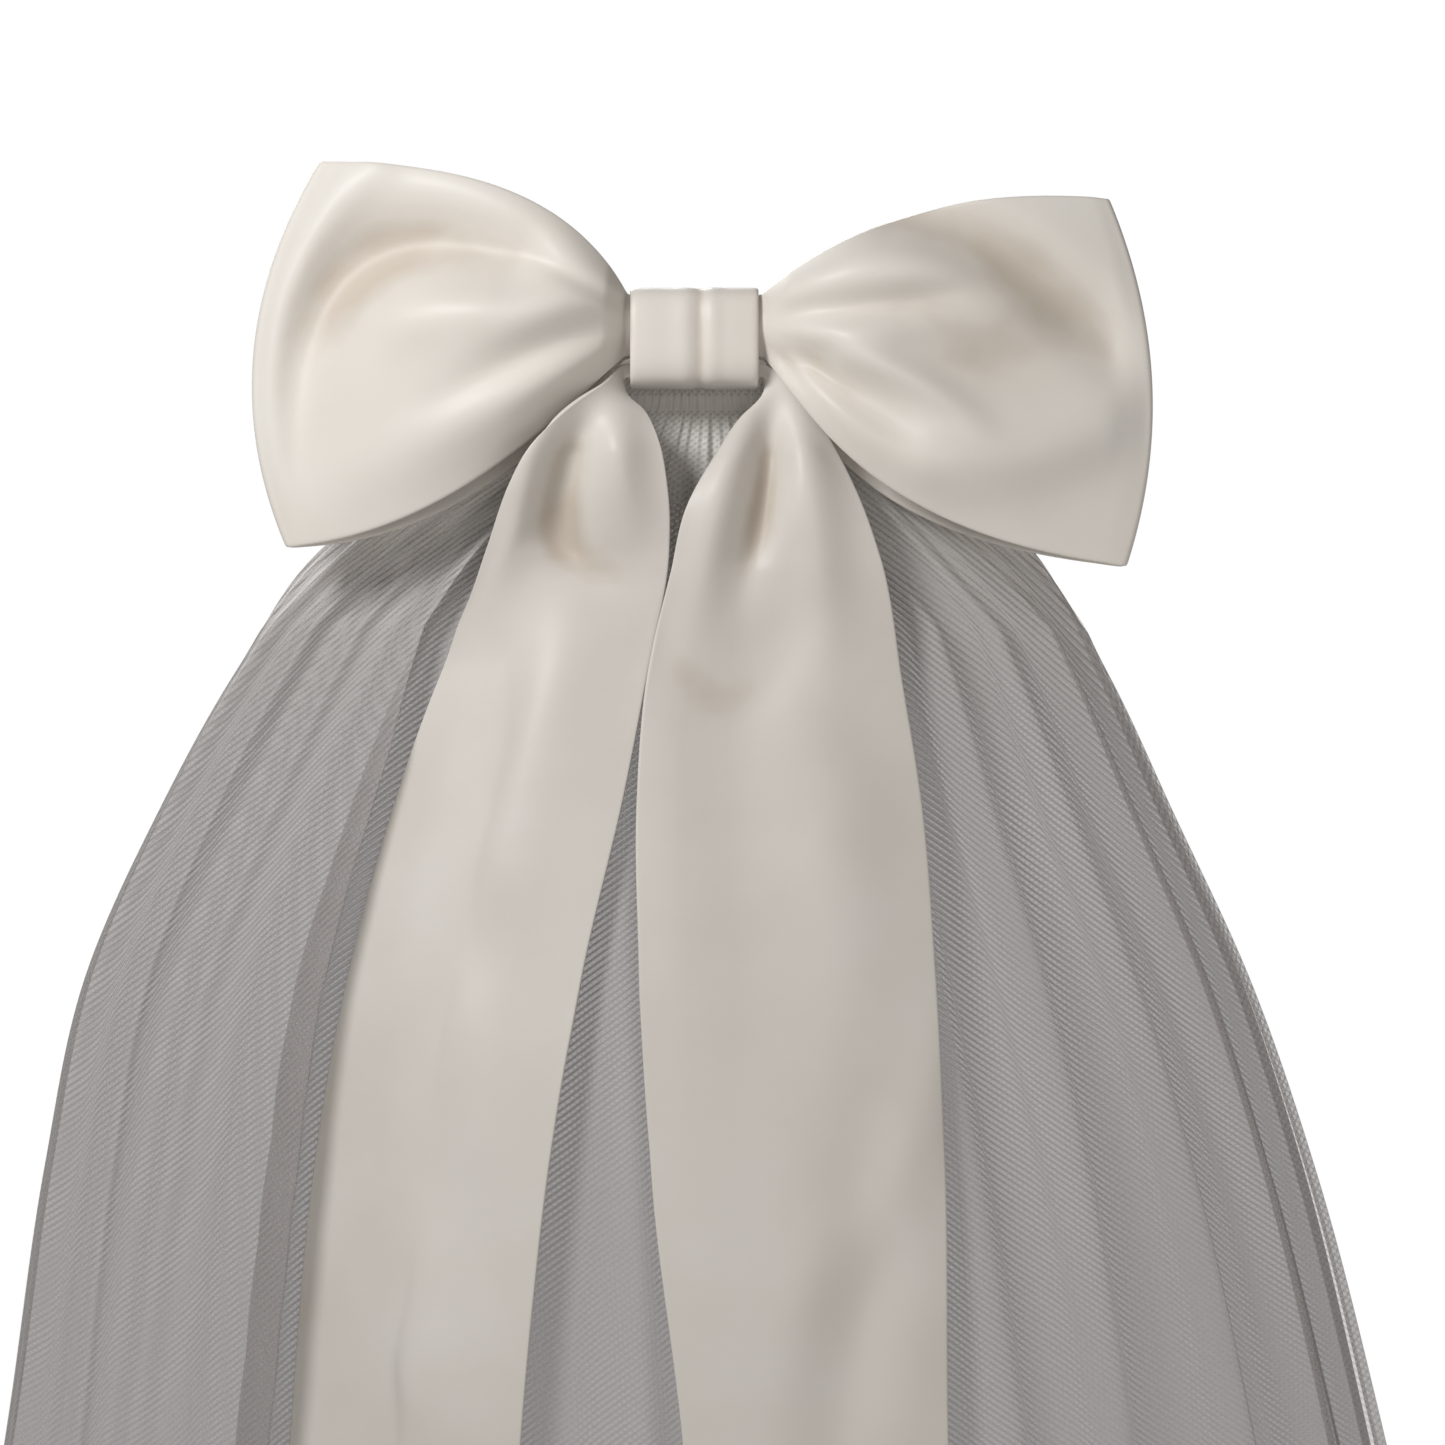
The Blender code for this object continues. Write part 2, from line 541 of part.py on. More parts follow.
def lies_over(height, x, wanted, tuck=None):
    """The place and the rise of points with the given x that lie as near to the wanted rise as the net
    allows. With tuck they also stay to the right of that fold's foot, under its crest."""
    rise = wanted
    for _ in range(5):
        place = place_on_net(x, height, rise)
        if tuck is not None:
            crest, _ = crest_places(tuck, height)
            foot = crest + 1.7 * tuck[4] + (TAIL_REACH + 0.5) / half_length(height)
            place = foot + TUCK_SOFTNESS * np.log1p(np.exp((place - foot) / TUCK_SOFTNESS))
        floor = np.zeros_like(x)
        for aside in (-1.0, -0.5, 0.0, 0.5, 1.0):
            near = place + aside * TAIL_REACH / half_length(height)
            floor = np.maximum(floor, fold_height(near, height, UPPER_FOLDS))
        lowest = floor + layer_offset(height) + NET_WALL + 1.2 * SATIN_WALL + 3 * SEAM_GAP + gathers(height)
        rise = np.maximum(wanted, lowest)
    return place, rise


def fold_tops(height):
    return layer_offset(height) + 0.80 * section_value("fold", height) * half_length(height) + 5.0


def left_tail_sits(across, height, x, ridges):
    """The left tail lies on the folds, and its outer edge dips into the valley under the curled one."""
    dip = np.clip((across - 0.40) / 0.45, 0.0, 1.0)
    dip = dip * dip * (3 - 2 * dip) * np.clip((-height - 50.0) / 40.0, 0.0, 1.0)
    curled = [fold for fold in UPPER_FOLDS if fold[2] > CURLED_FOLD][0]
    return lies_over(height, x, fold_tops(height) * (1 - 0.85 * dip) + ridges * (1 - dip), curled)


def right_tail_sits(across, height, x, ridges):
    """The right tail lies on the folds, with its inner edge just in front of the left tail's."""
    inner = np.clip((0.3 - across) / 0.12, 0.0, 1.0) * np.clip((height + 190.0) / 40.0, 0.0, 1.0)
    return lies_over(height, x, fold_tops(height) + ridges + 3.4 * inner)


def knot_band(name, material, parent):
    """The band wrapped round the middle of the bow: an open ring whose hollow holds the satin's ends."""
    stations = np.array((-0.5, -0.44, -0.2, 0.0, 0.14, 0.3, 0.46, 0.5)) * KNOT_WIDTH
    swell = np.array((-0.35, 0.0, 0.15, -0.25, 0.2, 0.1, 0.0, -0.35))
    angles = np.linspace(0.0, 2 * np.pi, 32, endpoint=False)
    power = 2.0 / KNOT_SQUARENESS
    round_y = np.sign(np.cos(angles)) * np.abs(np.cos(angles)) ** power
    round_z = np.sign(np.sin(angles)) * np.abs(np.sin(angles)) ** power
    skins = []
    for wall in (0.0, SATIN_WALL):
        rows = []
        for x, more in zip(stations, swell):
            grown = more if wall == 0.0 else 0.0
            y = (KNOT_DEPTH / 2 - wall + grown) * round_y
            z = (KNOT_HEIGHT / 2 - wall + grown * 0.4) * round_z
            rows.append(np.stack([np.full_like(y, x), y, z], axis=-1))
        skins.append(np.array(rows))
    piece = cloth_wall(name, skins[0], skins[1], material, parent, round_about=True)
    piece.location = tuple(c * MM for c in KNOT_CENTRE)
    return piece


def hair_comb(name, material, parent):
    """The comb that the net is sewn to: a flat bar, with a row of teeth drawn out of its underside."""
    cells = 2 * COMB_TEETH + 1
    pitch = COMB_LENGTH / (COMB_TEETH + (COMB_TEETH + 1) * (1 / COMB_TOOTH_SHARE - 1))
    widths = [pitch if cell % 2 else pitch * (1 / COMB_TOOTH_SHARE - 1) for cell in range(cells)]
    edges = np.concatenate([[0.0], np.cumsum(widths)]) - COMB_LENGTH / 2
    corners = (
        (0.0, -COMB_BAR_HEIGHT / 2),
        (0.0, COMB_BAR_HEIGHT / 2),
        (-COMB_BAR_DEPTH, COMB_BAR_HEIGHT / 2),
        (-COMB_BAR_DEPTH, -COMB_BAR_HEIGHT / 2),
    )
    work = bmesh.new()
    rings = [[work.verts.new((x * MM, y * MM, z * MM)) for y, z in corners] for x in edges]
    roots = []
    for cell in range(cells):
        for side in range(4):
            n = (side + 1) % 4
            near, far = rings[cell], rings[cell + 1]
            face = work.faces.new((near[side], near[n], far[n], far[side]))
            if side == 3 and cell % 2:
                roots.append(face)
    work.faces.new(rings[0])
    work.faces.new(rings[-1])
    step = COMB_TOOTH_LENGTH / COMB_TOOTH_STEPS
    for face in roots:
        for n in range(1, COMB_TOOTH_STEPS + 1):
            moved = bmesh.ops.extrude_discrete_faces(work, faces=[face])["faces"][0]
            middle = moved.calc_center_median()
            bend = COMB_TOOTH_CURVE * (2 * n - 1) / COMB_TOOTH_STEPS**2
            narrow = 0.84 if n < COMB_TOOTH_STEPS else 0.55
            for vert in moved.verts:
                offset = vert.co - middle
                vert.co = middle + offset * narrow
                vert.co.y += bend * MM
                vert.co.z -= step * MM
            face = moved
    bmesh.ops.recalc_face_normals(work, faces=work.faces)
    return finished(name, work, material, parent)


def main():
    clear_scene()
    origin = bpy.data.objects.new("veil_origin", None)
    bpy.context.scene.collection.objects.link(origin)
    net = fabric_or_plastic("soft_net", COLOURS["net"], 0.7)
    satin = fabric_or_plastic("ivory_satin", COLOURS["satin"], 0.32)
    plastic = fabric_or_plastic("clear_comb", COLOURS["comb"], 0.25)
    hair_comb("comb", plastic, origin)
    lower = (LOWER_LAYER_LENGTH, 1.0, lower_folds(), no_offset)
    net_layer("veil_lower_layer", *lower, net, origin)
    upper = (UPPER_LAYER_LENGTH, UPPER_LAYER_REACH, UPPER_FOLDS, layer_offset)
    net_layer("veil_upper_layer", *upper, net, origin)
    knot_band("bow_knot", satin, origin)
    for side, shape in LOOP_SHAPES.items():
        satin_loop(f"bow_loop_{side}", shape, LOOP_CREASES[side], satin, origin)
    sits = {"left": left_tail_sits, "right": right_tail_sits}
    for side, stations in TAIL_STATIONS.items():
        satin_tail(f"tail_{side}", stations, TAIL_CREASES[side], sits[side], satin, origin)


main()
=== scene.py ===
import bmesh
import bpy
import numpy as np
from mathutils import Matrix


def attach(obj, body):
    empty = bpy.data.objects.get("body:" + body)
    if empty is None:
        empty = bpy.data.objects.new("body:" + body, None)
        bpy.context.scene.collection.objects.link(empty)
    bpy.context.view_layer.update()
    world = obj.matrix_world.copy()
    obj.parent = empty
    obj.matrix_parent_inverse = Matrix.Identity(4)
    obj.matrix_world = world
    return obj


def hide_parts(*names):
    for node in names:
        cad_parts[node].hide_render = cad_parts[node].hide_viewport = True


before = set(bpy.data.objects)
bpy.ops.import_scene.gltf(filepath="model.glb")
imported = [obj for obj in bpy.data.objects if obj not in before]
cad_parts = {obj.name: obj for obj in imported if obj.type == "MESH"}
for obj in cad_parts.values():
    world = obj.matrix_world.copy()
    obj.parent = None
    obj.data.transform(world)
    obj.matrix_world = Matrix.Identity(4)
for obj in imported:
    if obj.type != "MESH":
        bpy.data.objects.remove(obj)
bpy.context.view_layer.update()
bpy.ops.object.select_all(action="DESELECT")
MM = 0.001


# The longer, lower layer of net. It is one sheet of soft tulle, gathered along its top edge and sewn to the
# comb's bar. From there it spreads in soft folds round a hollow, and its hem is cut in an arc.
NET_WALL = 1.2
SEAM_GAP = 0.3
LOWER_LAYER_LENGTH = 600.0
UPPER_LAYER_LENGTH = 450.0
SATIN_WALL = 1.2
HEM_LIFT = 0.10
WRAP_AT_COMB = np.radians(25.0)
WRAP_BELOW = np.radians(80.0)
FOLD_LEAN = 0.5
CURL_OVER_TAIL = 2.2
CURL_PLACE = -0.50
CURL_SPREAD = 0.26
GATHER_HEIGHT = 0.5
GATHER_LENGTH = 60.0
GATHER_COUNT = 46
GATHER_ROOM = 0.6
GATHER_ROOM_LENGTH = 42.0
NET_COLUMNS = 420
NET_ROWS = 150
LOWER_FOLD_COUNT = 15
LOWER_FOLD_SPREAD = 0.035
LOWER_FOLD_HEIGHT = 0.62
SECTION_COLUMNS = ("height", "half_width", "side_shift", "centre", "wrap", "fold")
SECTIONS = (
    (8.0, 44.0, 0.0, -4.0, 0.0, 0.020),
    (-5.0, 46.0, 0.0, -4.1, 0.5, 0.022),
    (-18.0, 64.0, -2.0, -6.2, 4.0, 0.030),
    (-40.0, 91.0, -5.0, -10.6, 22.0, 0.042),
    (-70.0, 110.5, -7.5, -15.0, 44.0, 0.050),
    (-108.0, 130.5, -9.5, -19.0, 63.0, 0.052),
    (-150.0, 150.0, -9.5, -24.0, 79.0, 0.052),
    (-200.0, 164.5, -6.5, -29.0, 91.0, 0.051),
    (-265.0, 178.0, -3.0, -34.0, 101.0, 0.050),
    (-350.0, 194.0, -1.0, -39.0, 109.0, 0.049),
    (-450.0, 211.0, 0.0, -43.0, 115.0, 0.048),
    (-530.0, 224.0, 0.0, -45.0, 118.0, 0.047),
    (-600.0, 234.0, 0.0, -46.0, 120.0, 0.046),
)


def smooth_through(places, values, at):
    """A smooth curve through the values, read at new places."""
    order = np.argsort(places)
    places, values = np.asarray(places, float)[order], np.asarray(values, float)[order]
    slopes = np.gradient(values, places)
    at = np.clip(at, places[0], places[-1])
    left = np.clip(np.searchsorted(places, at, side="right") - 1, 0, len(places) - 2)
    span = places[left + 1] - places[left]
    t = (at - places[left]) / span
    rise = values[left + 1] - values[left]
    ease = t * t * (3 - 2 * t)
    return values[left] + rise * ease + (slopes[left] * (1 - t) - slopes[left + 1] * t) * span * t * (1 - t)


def section_value(column, height):
    wanted = SECTION_COLUMNS.index(column)
    heights = [row[0] for row in SECTIONS]
    return smooth_through(heights, [row[wanted] for row in SECTIONS], height)


def hanging_point(place, height):
    """A point of the smooth hollow form that the folds rise from, and the ways across it and out of it."""
    turn = WRAP_AT_COMB + (WRAP_BELOW - WRAP_AT_COMB) * np.clip(-height / 60.0, 0.0, 1.0)
    angle = place * turn
    half_width = section_value("half_width", height)
    wrap = section_value("wrap", height)
    x = section_value("side_shift", height) + half_width * np.sin(angle) / np.sin(turn)
    y = section_value("centre", height) + wrap * (1 - np.cos(angle)) / (1 - np.cos(turn))
    along_x = half_width * np.cos(angle) / np.sin(turn)
    along_y = wrap * np.sin(angle) / (1 - np.cos(turn))
    length = np.hypot(along_x, along_y)
    across = np.stack([along_x / length, along_y / length], axis=-1)
    outwards = np.stack([across[..., 1], -across[..., 0]], axis=-1)
    return x, y, across, outwards


def half_length(height):
    return np.hypot(section_value("half_width", height), 0.55 * section_value("wrap", height))


def crest_places(fold, height):
    """Where a fold's crest lies across the net at each height, and how tall it is there."""
    at_comb, at_hem, high, low = fold[:4]
    down = np.clip(-height / UPPER_LAYER_LENGTH, 0.0, 1.0)
    down = down * down * (3 - 2 * down)
    return at_comb + (at_hem - at_comb) * down, high + (low - high) * down


def fold_height(place, height, folds):
    total = np.zeros_like(place * height)
    for fold in folds:
        where, tall = crest_places(fold, height)
        total += tall * np.exp(-(((place - where) / fold[4]) ** 2))
    return total * section_value("fold", height) * half_length(height)


def gathers(height):
    return GATHER_HEIGHT * np.clip(1.0 + height / GATHER_LENGTH, 0.0, 1.0)


def gather_room(height):
    """The room that is left for the gathers, a little more than they need."""
    return GATHER_ROOM * np.clip(1.0 + height / GATHER_ROOM_LENGTH, 0.0, 1.0)


def layer_offset(height):
    """How far the upper layer's floor lies outside the lower layer's floor."""
    room = LOWER_FOLD_HEIGHT * 1.05 * section_value("fold", height) * half_length(height)
    return room + NET_WALL + 1.5 * SEAM_GAP + 2 * gather_room(height)


def net_point(place, height, rise):
    """The point rise mm out of the hollow form. The pleats lean, and one crest curls over the left tail."""
    x, y, across, outwards = hanging_point(place, height)
    down = np.clip((-height - 2.0) / 60.0, 0.0, 1.0)
    curl = CURL_OVER_TAIL * np.exp(-(((place - CURL_PLACE) / CURL_SPREAD) ** 2))
    curl = curl * np.clip((-height - 30.0) / 60.0, 0.0, 1.0)
    over = np.maximum(rise - layer_offset(height) - NET_WALL - SATIN_WALL - 3.0, 0.0)
    carried = FOLD_LEAN * down * rise + curl * over**2 / (over + 2.0)
    x = x + rise * outwards[..., 0] + carried * across[..., 0]
    y = y + rise * outwards[..., 1] + carried * across[..., 1]
    return x, y


def arc_uv(points):
    """Where each point of a grid lies on the flat cloth, in mm: across from the middle column, and down."""
    across = np.linalg.norm(np.diff(points, axis=1), axis=-1)
    across = np.concatenate([np.zeros((len(points), 1)), np.cumsum(across, axis=1)], axis=1)
    across -= across[:, points.shape[1] // 2][:, None]
    middle = points[:, points.shape[1] // 2]
    down = np.concatenate([[0.0], np.cumsum(np.linalg.norm(np.diff(middle, axis=0), axis=-1))])
    return np.stack([across, np.broadcast_to(-down[:, None], across.shape)], axis=-1)


def cloth_piece(name, skins, uv, material, node, round_about=False, marks=None):
    """A piece of cloth from one grid of points in mm, or from two that are joined at the edges to a wall."""
    rows, columns = skins[0].shape[:2]
    around = columns if round_about else columns - 1
    faces, size = [], rows * columns
    for k in range(len(skins)):
        for r in range(rows - 1):
            for c in range(around):
                n = (c + 1) % columns
                corners = (r * columns + c, (r + 1) * columns + c, (r + 1) * columns + n, r * columns + n)
                faces.append([k * size + corner for corner in corners])
    if len(skins) == 2:
        rims = [(0, c, 0, (c + 1) % columns) for c in range(around)]
        rims += [(rows - 1, c, rows - 1, (c + 1) % columns) for c in range(around)]
        if not round_about:
            rims += [(r, c, r + 1, c) for c in (0, columns - 1) for r in range(rows - 1)]
        for r0, c0, r1, c1 in rims:
            a, b = r0 * columns + c0, r1 * columns + c1
            faces.append([a, b, size + b, size + a])
    mesh = bpy.data.meshes.new(name)
    mesh.from_pydata((np.concatenate([skin.reshape(-1, 3) for skin in skins]) * MM).tolist(), [], faces)
    mesh.materials.append(material)
    loops = np.empty(len(mesh.loops), int)
    mesh.loops.foreach_get("vertex_index", loops)
    flat = np.concatenate([uv.reshape(-1, 2)] * len(skins))
    mesh.uv_layers.new(name="cloth").data.foreach_set("uv", (flat[loops] * MM).ravel())
    for mark, values in (marks or {}).items():
        flat = np.concatenate([np.broadcast_to(values, (rows, columns)).ravel()] * len(skins))
        mesh.attributes.new(mark, "FLOAT", "POINT").data.foreach_set("value", flat)
    work = bmesh.new()
    work.from_mesh(mesh)
    if len(skins) == 2:
        bmesh.ops.recalc_face_normals(work, faces=work.faces)
    work.to_mesh(mesh)
    work.free()
    mesh.shade_smooth()
    piece = bpy.data.objects.new(name, mesh)
    bpy.context.collection.objects.link(piece)
    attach(piece, "root")
    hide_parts(node)
    return piece


def net_sheet(length, reach, folds, offset, turn):
    """The points of one layer of net, their places on the flat cloth and how bunched they are, which also sets
    how much painted light pales the top. turn shifts the gathers from the other layer's."""
    top = SECTIONS[0][0]
    levels = top - (top + length) * np.linspace(0.0, 1.0, NET_ROWS) ** 1.35
    place = np.linspace(-reach, reach, NET_COLUMNS)[None, :]
    lift = HEM_LIFT * length * np.abs(place) ** 3 * ((top - levels) / length)[:, None] ** 2
    height = levels[:, None] + lift
    wave = np.cos(np.pi * GATHER_COUNT * (place + 0.012 * np.sin(9.0 * place + turn)) + turn)
    rise = fold_height(place, height, folds) + offset(height) + NET_WALL / 2 + gathers(height) * wave
    x, y = net_point(place, height, rise)
    points = np.stack([x, y, height], axis=-1)
    # Denser towards the comb, where the net is also painted paler as painted light.
    bunched = np.clip(1.0 + height / 120.0, 0.0, 1.0) ** 2
    return points, arc_uv(points), bunched


def lower_folds():
    rows = []
    for i in range(LOWER_FOLD_COUNT):
        even = -0.93 + 1.86 * i / (LOWER_FOLD_COUNT - 1)
        at_comb = even + 0.012 * np.sin(2.4 * i)
        at_hem = even + 0.018 * np.sin(2.4 * i + 0.9)
        high = LOWER_FOLD_HEIGHT * (0.78 + 0.22 * np.cos(1.7 * i + 0.6))
        low = LOWER_FOLD_HEIGHT * (0.80 + 0.20 * np.cos(2.9 * i + 0.2))
        rows.append((at_comb, at_hem, high, low, LOWER_FOLD_SPREAD * (1.0 + 0.12 * np.sin(3.1 * i))))
    return rows


def add_nodes(tree, kinds):
    return {name: tree.nodes.new(kind) for name, kind in kinds.items()}


def math_node(tree, operation, first, second=None):
    """A Math node whose inputs are sockets or plain numbers. Returns its output."""
    node = tree.nodes.new("ShaderNodeMath")
    node.operation = operation
    for socket, given in zip(node.inputs, (first, second)):
        if isinstance(given, bpy.types.NodeSocket):
            tree.links.new(given, socket)
        elif given is not None:
            socket.default_value = given
    return node.outputs[0]


def new_group(name, inputs, outputs):
    group = bpy.data.node_groups.new(name, "ShaderNodeTree")
    for socket, kind, value in inputs:
        made = group.interface.new_socket(name=socket, in_out="INPUT", socket_type=kind)
        if value is not None:
            made.default_value = value
    for socket, kind in outputs:
        group.interface.new_socket(name=socket, in_out="OUTPUT", socket_type=kind)
    return group, group.nodes.new("NodeGroupInput"), group.nodes.new("NodeGroupOutput")


# The mesh of the tulle: two families of fine threads that cross on the bias, one rising to the right and one
# falling. Each comes out as a mask, 1 on a thread and 0 in a hole.
NET_PITCH = 0.0014
TAPE_HALF_WIDTH = 0.0021
THREAD_SLOPE = np.radians(34.0)
net_threads, given, wanted = new_group(
    "net_threads",
    [("Vector", "NodeSocketVector", None), ("Pitch", "NodeSocketFloat", 0.0017),
     ("Share", "NodeSocketFloat", 0.35)],
    [("Rising", "NodeSocketFloat"), ("Falling", "NodeSocketFloat")],
)
split = net_threads.nodes.new("ShaderNodeSeparateXYZ")
net_threads.links.new(given.outputs["Vector"], split.inputs[0])
for family, sign in (("Rising", -1.0), ("Falling", 1.0)):
    sloped = math_node(net_threads, "MULTIPLY", split.outputs["X"], sign * np.sin(THREAD_SLOPE))
    level = math_node(net_threads, "MULTIPLY", split.outputs["Y"], np.cos(THREAD_SLOPE))
    measured = math_node(net_threads, "ADD", sloped, level)
    crossed = math_node(net_threads, "DIVIDE", measured, given.outputs["Pitch"])
    away = math_node(net_threads, "MULTIPLY", math_node(net_threads, "PINGPONG", crossed, 0.5), 2.0)
    soft = net_threads.nodes.new("ShaderNodeMapRange")
    soft.interpolation_type = "SMOOTHSTEP"
    net_threads.links.new(away, soft.inputs["Value"])
    net_threads.links.new(given.outputs["Share"], soft.inputs["From Min"])
    edge = math_node(net_threads, "ADD", given.outputs["Share"], 0.22)
    net_threads.links.new(edge, soft.inputs["From Max"])
    soft.inputs["To Min"].default_value = 1.0
    soft.inputs["To Max"].default_value = 0.0
    net_threads.links.new(soft.outputs["Result"], wanted.inputs[family])


def net_material(name, colour, painted_light_top, haze, thread, bunched, tape=None):
    """Soft net: its threads and a haze of finer ones are seen against holes, and its gathers are denser. Towards
    the top its colour is painted paler, as painted light against the bow's shadow. tape is how far below the top
    edge the gathers are caught under a flat sewn tape."""
    made = bpy.data.materials.new(name)
    made.use_nodes = True
    tree = made.node_tree
    shader = tree.nodes["Principled BSDF"]
    parts = add_nodes(tree, {
        "uv": "ShaderNodeUVMap", "net": "ShaderNodeGroup", "side": "ShaderNodeSeparateXYZ",
        "share": "ShaderNodeMapRange", "mark": "ShaderNodeAttribute", "clear": "ShaderNodeMapRange",
        "tone": "ShaderNodeValToRGB"})
    parts["uv"].uv_map = "cloth"
    parts["net"].node_tree = net_threads
    parts["net"].inputs["Pitch"].default_value = NET_PITCH
    parts["net"].inputs["Share"].default_value = 0.30
    tree.links.new(parts["uv"].outputs[0], parts["net"].inputs["Vector"])
    tree.links.new(parts["uv"].outputs[0], parts["side"].inputs[0])
    tree.links.new(parts["side"].outputs["X"], parts["share"].inputs["Value"])
    parts["share"].inputs["From Min"].default_value = -0.03
    parts["share"].inputs["From Max"].default_value = 0.06
    to_right = math_node(tree, "MULTIPLY", parts["share"].outputs["Result"], 0.75)
    rising = math_node(tree, "MULTIPLY", parts["net"].outputs["Rising"], math_node(tree, "SUBTRACT", 1.0, to_right))
    falling = math_node(tree, "MULTIPLY", parts["net"].outputs["Falling"], math_node(tree, "ADD", 0.25, to_right))
    either = math_node(tree, "MAXIMUM", rising, falling)
    tree.links.new(parts["side"].outputs["Y"], parts["clear"].inputs["Value"])
    for socket, value in (("From Min", -0.30), ("From Max", -0.12), ("To Min", 0.35), ("To Max", 1.0)):
        parts["clear"].inputs[socket].default_value = value
    sharp = math_node(tree, "SUBTRACT", either, 0.4)
    shown = math_node(tree, "ADD", math_node(tree, "MULTIPLY", sharp, parts["clear"].outputs["Result"]), 0.4)
    parts["mark"].attribute_name = "bunched"
    extra = math_node(tree, "MULTIPLY", parts["mark"].outputs["Fac"], bunched)
    cover = math_node(tree, "ADD", math_node(tree, "MULTIPLY", shown, thread), haze)
    cover = math_node(tree, "ADD", cover, extra)
    if tape is not None:
        from_tape = math_node(tree, "ABSOLUTE", math_node(tree, "ADD", parts["side"].outputs["Y"], tape))
        sewn = math_node(tree, "MULTIPLY", math_node(tree, "SUBTRACT", TAPE_HALF_WIDTH, from_tape), 900.0)
        sewn = math_node(tree, "MAXIMUM", math_node(tree, "MINIMUM", sewn, 1.0), 0.0)
        cover = math_node(tree, "ADD", cover, math_node(tree, "MULTIPLY", sewn, 0.7))
    tree.links.new(math_node(tree, "MINIMUM", cover, 1.0), shader.inputs["Alpha"])
    parts["tone"].color_ramp.elements[0].color = colour
    parts["tone"].color_ramp.elements[1].color = painted_light_top
    # Painted light: the same bunching mask turns the top of the net a paler colour.
    tree.links.new(parts["mark"].outputs["Fac"], parts["tone"].inputs["Fac"])
    tree.links.new(parts["tone"].outputs["Color"], shader.inputs["Base Color"])
    shader.inputs["Roughness"].default_value = 0.6
    shader.inputs["Sheen Weight"].default_value = 0.25
    shader.inputs["Sheen Roughness"].default_value = 0.5
    return made


def no_offset(height):
    return np.zeros_like(height)


# Painted shade: the lower layer's ivory tulle is coloured a dark grey, darker than the upper layer, as it looks
# hanging in shade.
lower_net = net_material("lower_net", (0.22, 0.20, 0.195, 1.0), (0.66, 0.63, 0.60, 1.0), 0.56, 0.24, 0.55)
points, flat, bunched = net_sheet(LOWER_LAYER_LENGTH, 1.0, lower_folds(), no_offset, 0.0)
lower_layer = cloth_piece("lower_layer_of_net", [points], flat, lower_net, "veil_lower_layer",
                          marks={"bunched": bunched})


# The shorter, upper layer of net, gathered over the first on the same seam. Its pleats lean to the right. The
# tallest one, beside the left tail, curls over the satin's edge.
UPPER_LAYER_REACH = 0.90
# A row for each fold: its crest's place at the comb and at the hem, its height there, and its half width.
UPPER_FOLDS = (
    (-0.84, -0.83, 0.70, 0.40, 0.032),
    (-0.71, -0.70, 0.95, 0.75, 0.034),
    (-0.590, -0.63, 0.50, 0.60, 0.026),
    (-0.470, -0.522, 1.60, 1.60, 0.026),
    (-0.29, -0.30, 0.45, 0.60, 0.034),
    (-0.175, -0.19, 0.60, 0.45, 0.030),
    (-0.065, -0.06, 0.50, 0.75, 0.032),
    (0.045, 0.06, 0.60, 0.50, 0.028),
    (0.155, 0.17, 0.40, 0.60, 0.034),
    (0.285, 0.29, 0.70, 0.85, 0.034),
    (0.425, 0.40, 0.95, 0.65, 0.032),
    (0.56, 0.56, 0.75, 0.90, 0.036),
    (0.69, 0.70, 0.95, 0.70, 0.032),
    (0.82, 0.82, 0.65, 0.80, 0.034),
)
# Painted shade: the upper layer's ivory tulle is coloured grey, as it looks hanging in shade.
upper_net = net_material("upper_net", (0.42, 0.39, 0.385, 1.0), (0.84, 0.82, 0.79, 1.0), 0.34, 0.36, 0.46,
                         tape=0.0115)
points, flat, bunched = net_sheet(UPPER_LAYER_LENGTH, UPPER_LAYER_REACH, UPPER_FOLDS, layer_offset, 1.7)
upper_layer = cloth_piece("upper_layer_of_net", [points], flat, upper_net, "veil_upper_layer",
                          marks={"bunched": bunched})


# The bow. It is a wide band of heavy ivory satin, folded back on itself to a loop on each side and drawn
# together in the middle. Its edges are turned in, so they are soft and have no stitches that show.
SATIN_THICKNESS = 1.1
SATIN_ROUGHNESS = 0.44
KNOT_CENTRE = np.array((0.0, -19.45, 12.0))
LOOP_END_INSIDE_KNOT = 10.0
LOOP_FOLD_RADIUS = 1.9
LOOP_BELLY = 15.0
LOOP_BACK_BELLY = 3.0
LOOP_OUTER_Y = -3.0
LOOP_SHAPES = {
    "left": {
        "side": -1.0,
        "top": ((16.4, 10.4), (28.0, 31.5), (50.0, 42.5), (93.5, 44.0)),
        "bottom": ((17.0, -4.6), (33.0, -20.0), (61.0, -50.0), (101.8, -52.5)),
        "outer_bulge": 12.4,
        "back_drop": 2.0,
    },
    "right": {
        "side": 1.0,
        "top": ((16.4, 10.4), (35.0, 25.0), (60.0, 37.5), (103.4, 34.7)),
        "bottom": ((17.0, -4.8), (30.0, -22.0), (44.0, -50.0), (107.8, -57.2)),
        "outer_bulge": 8.6,
        "back_drop": 1.4,
    },
}
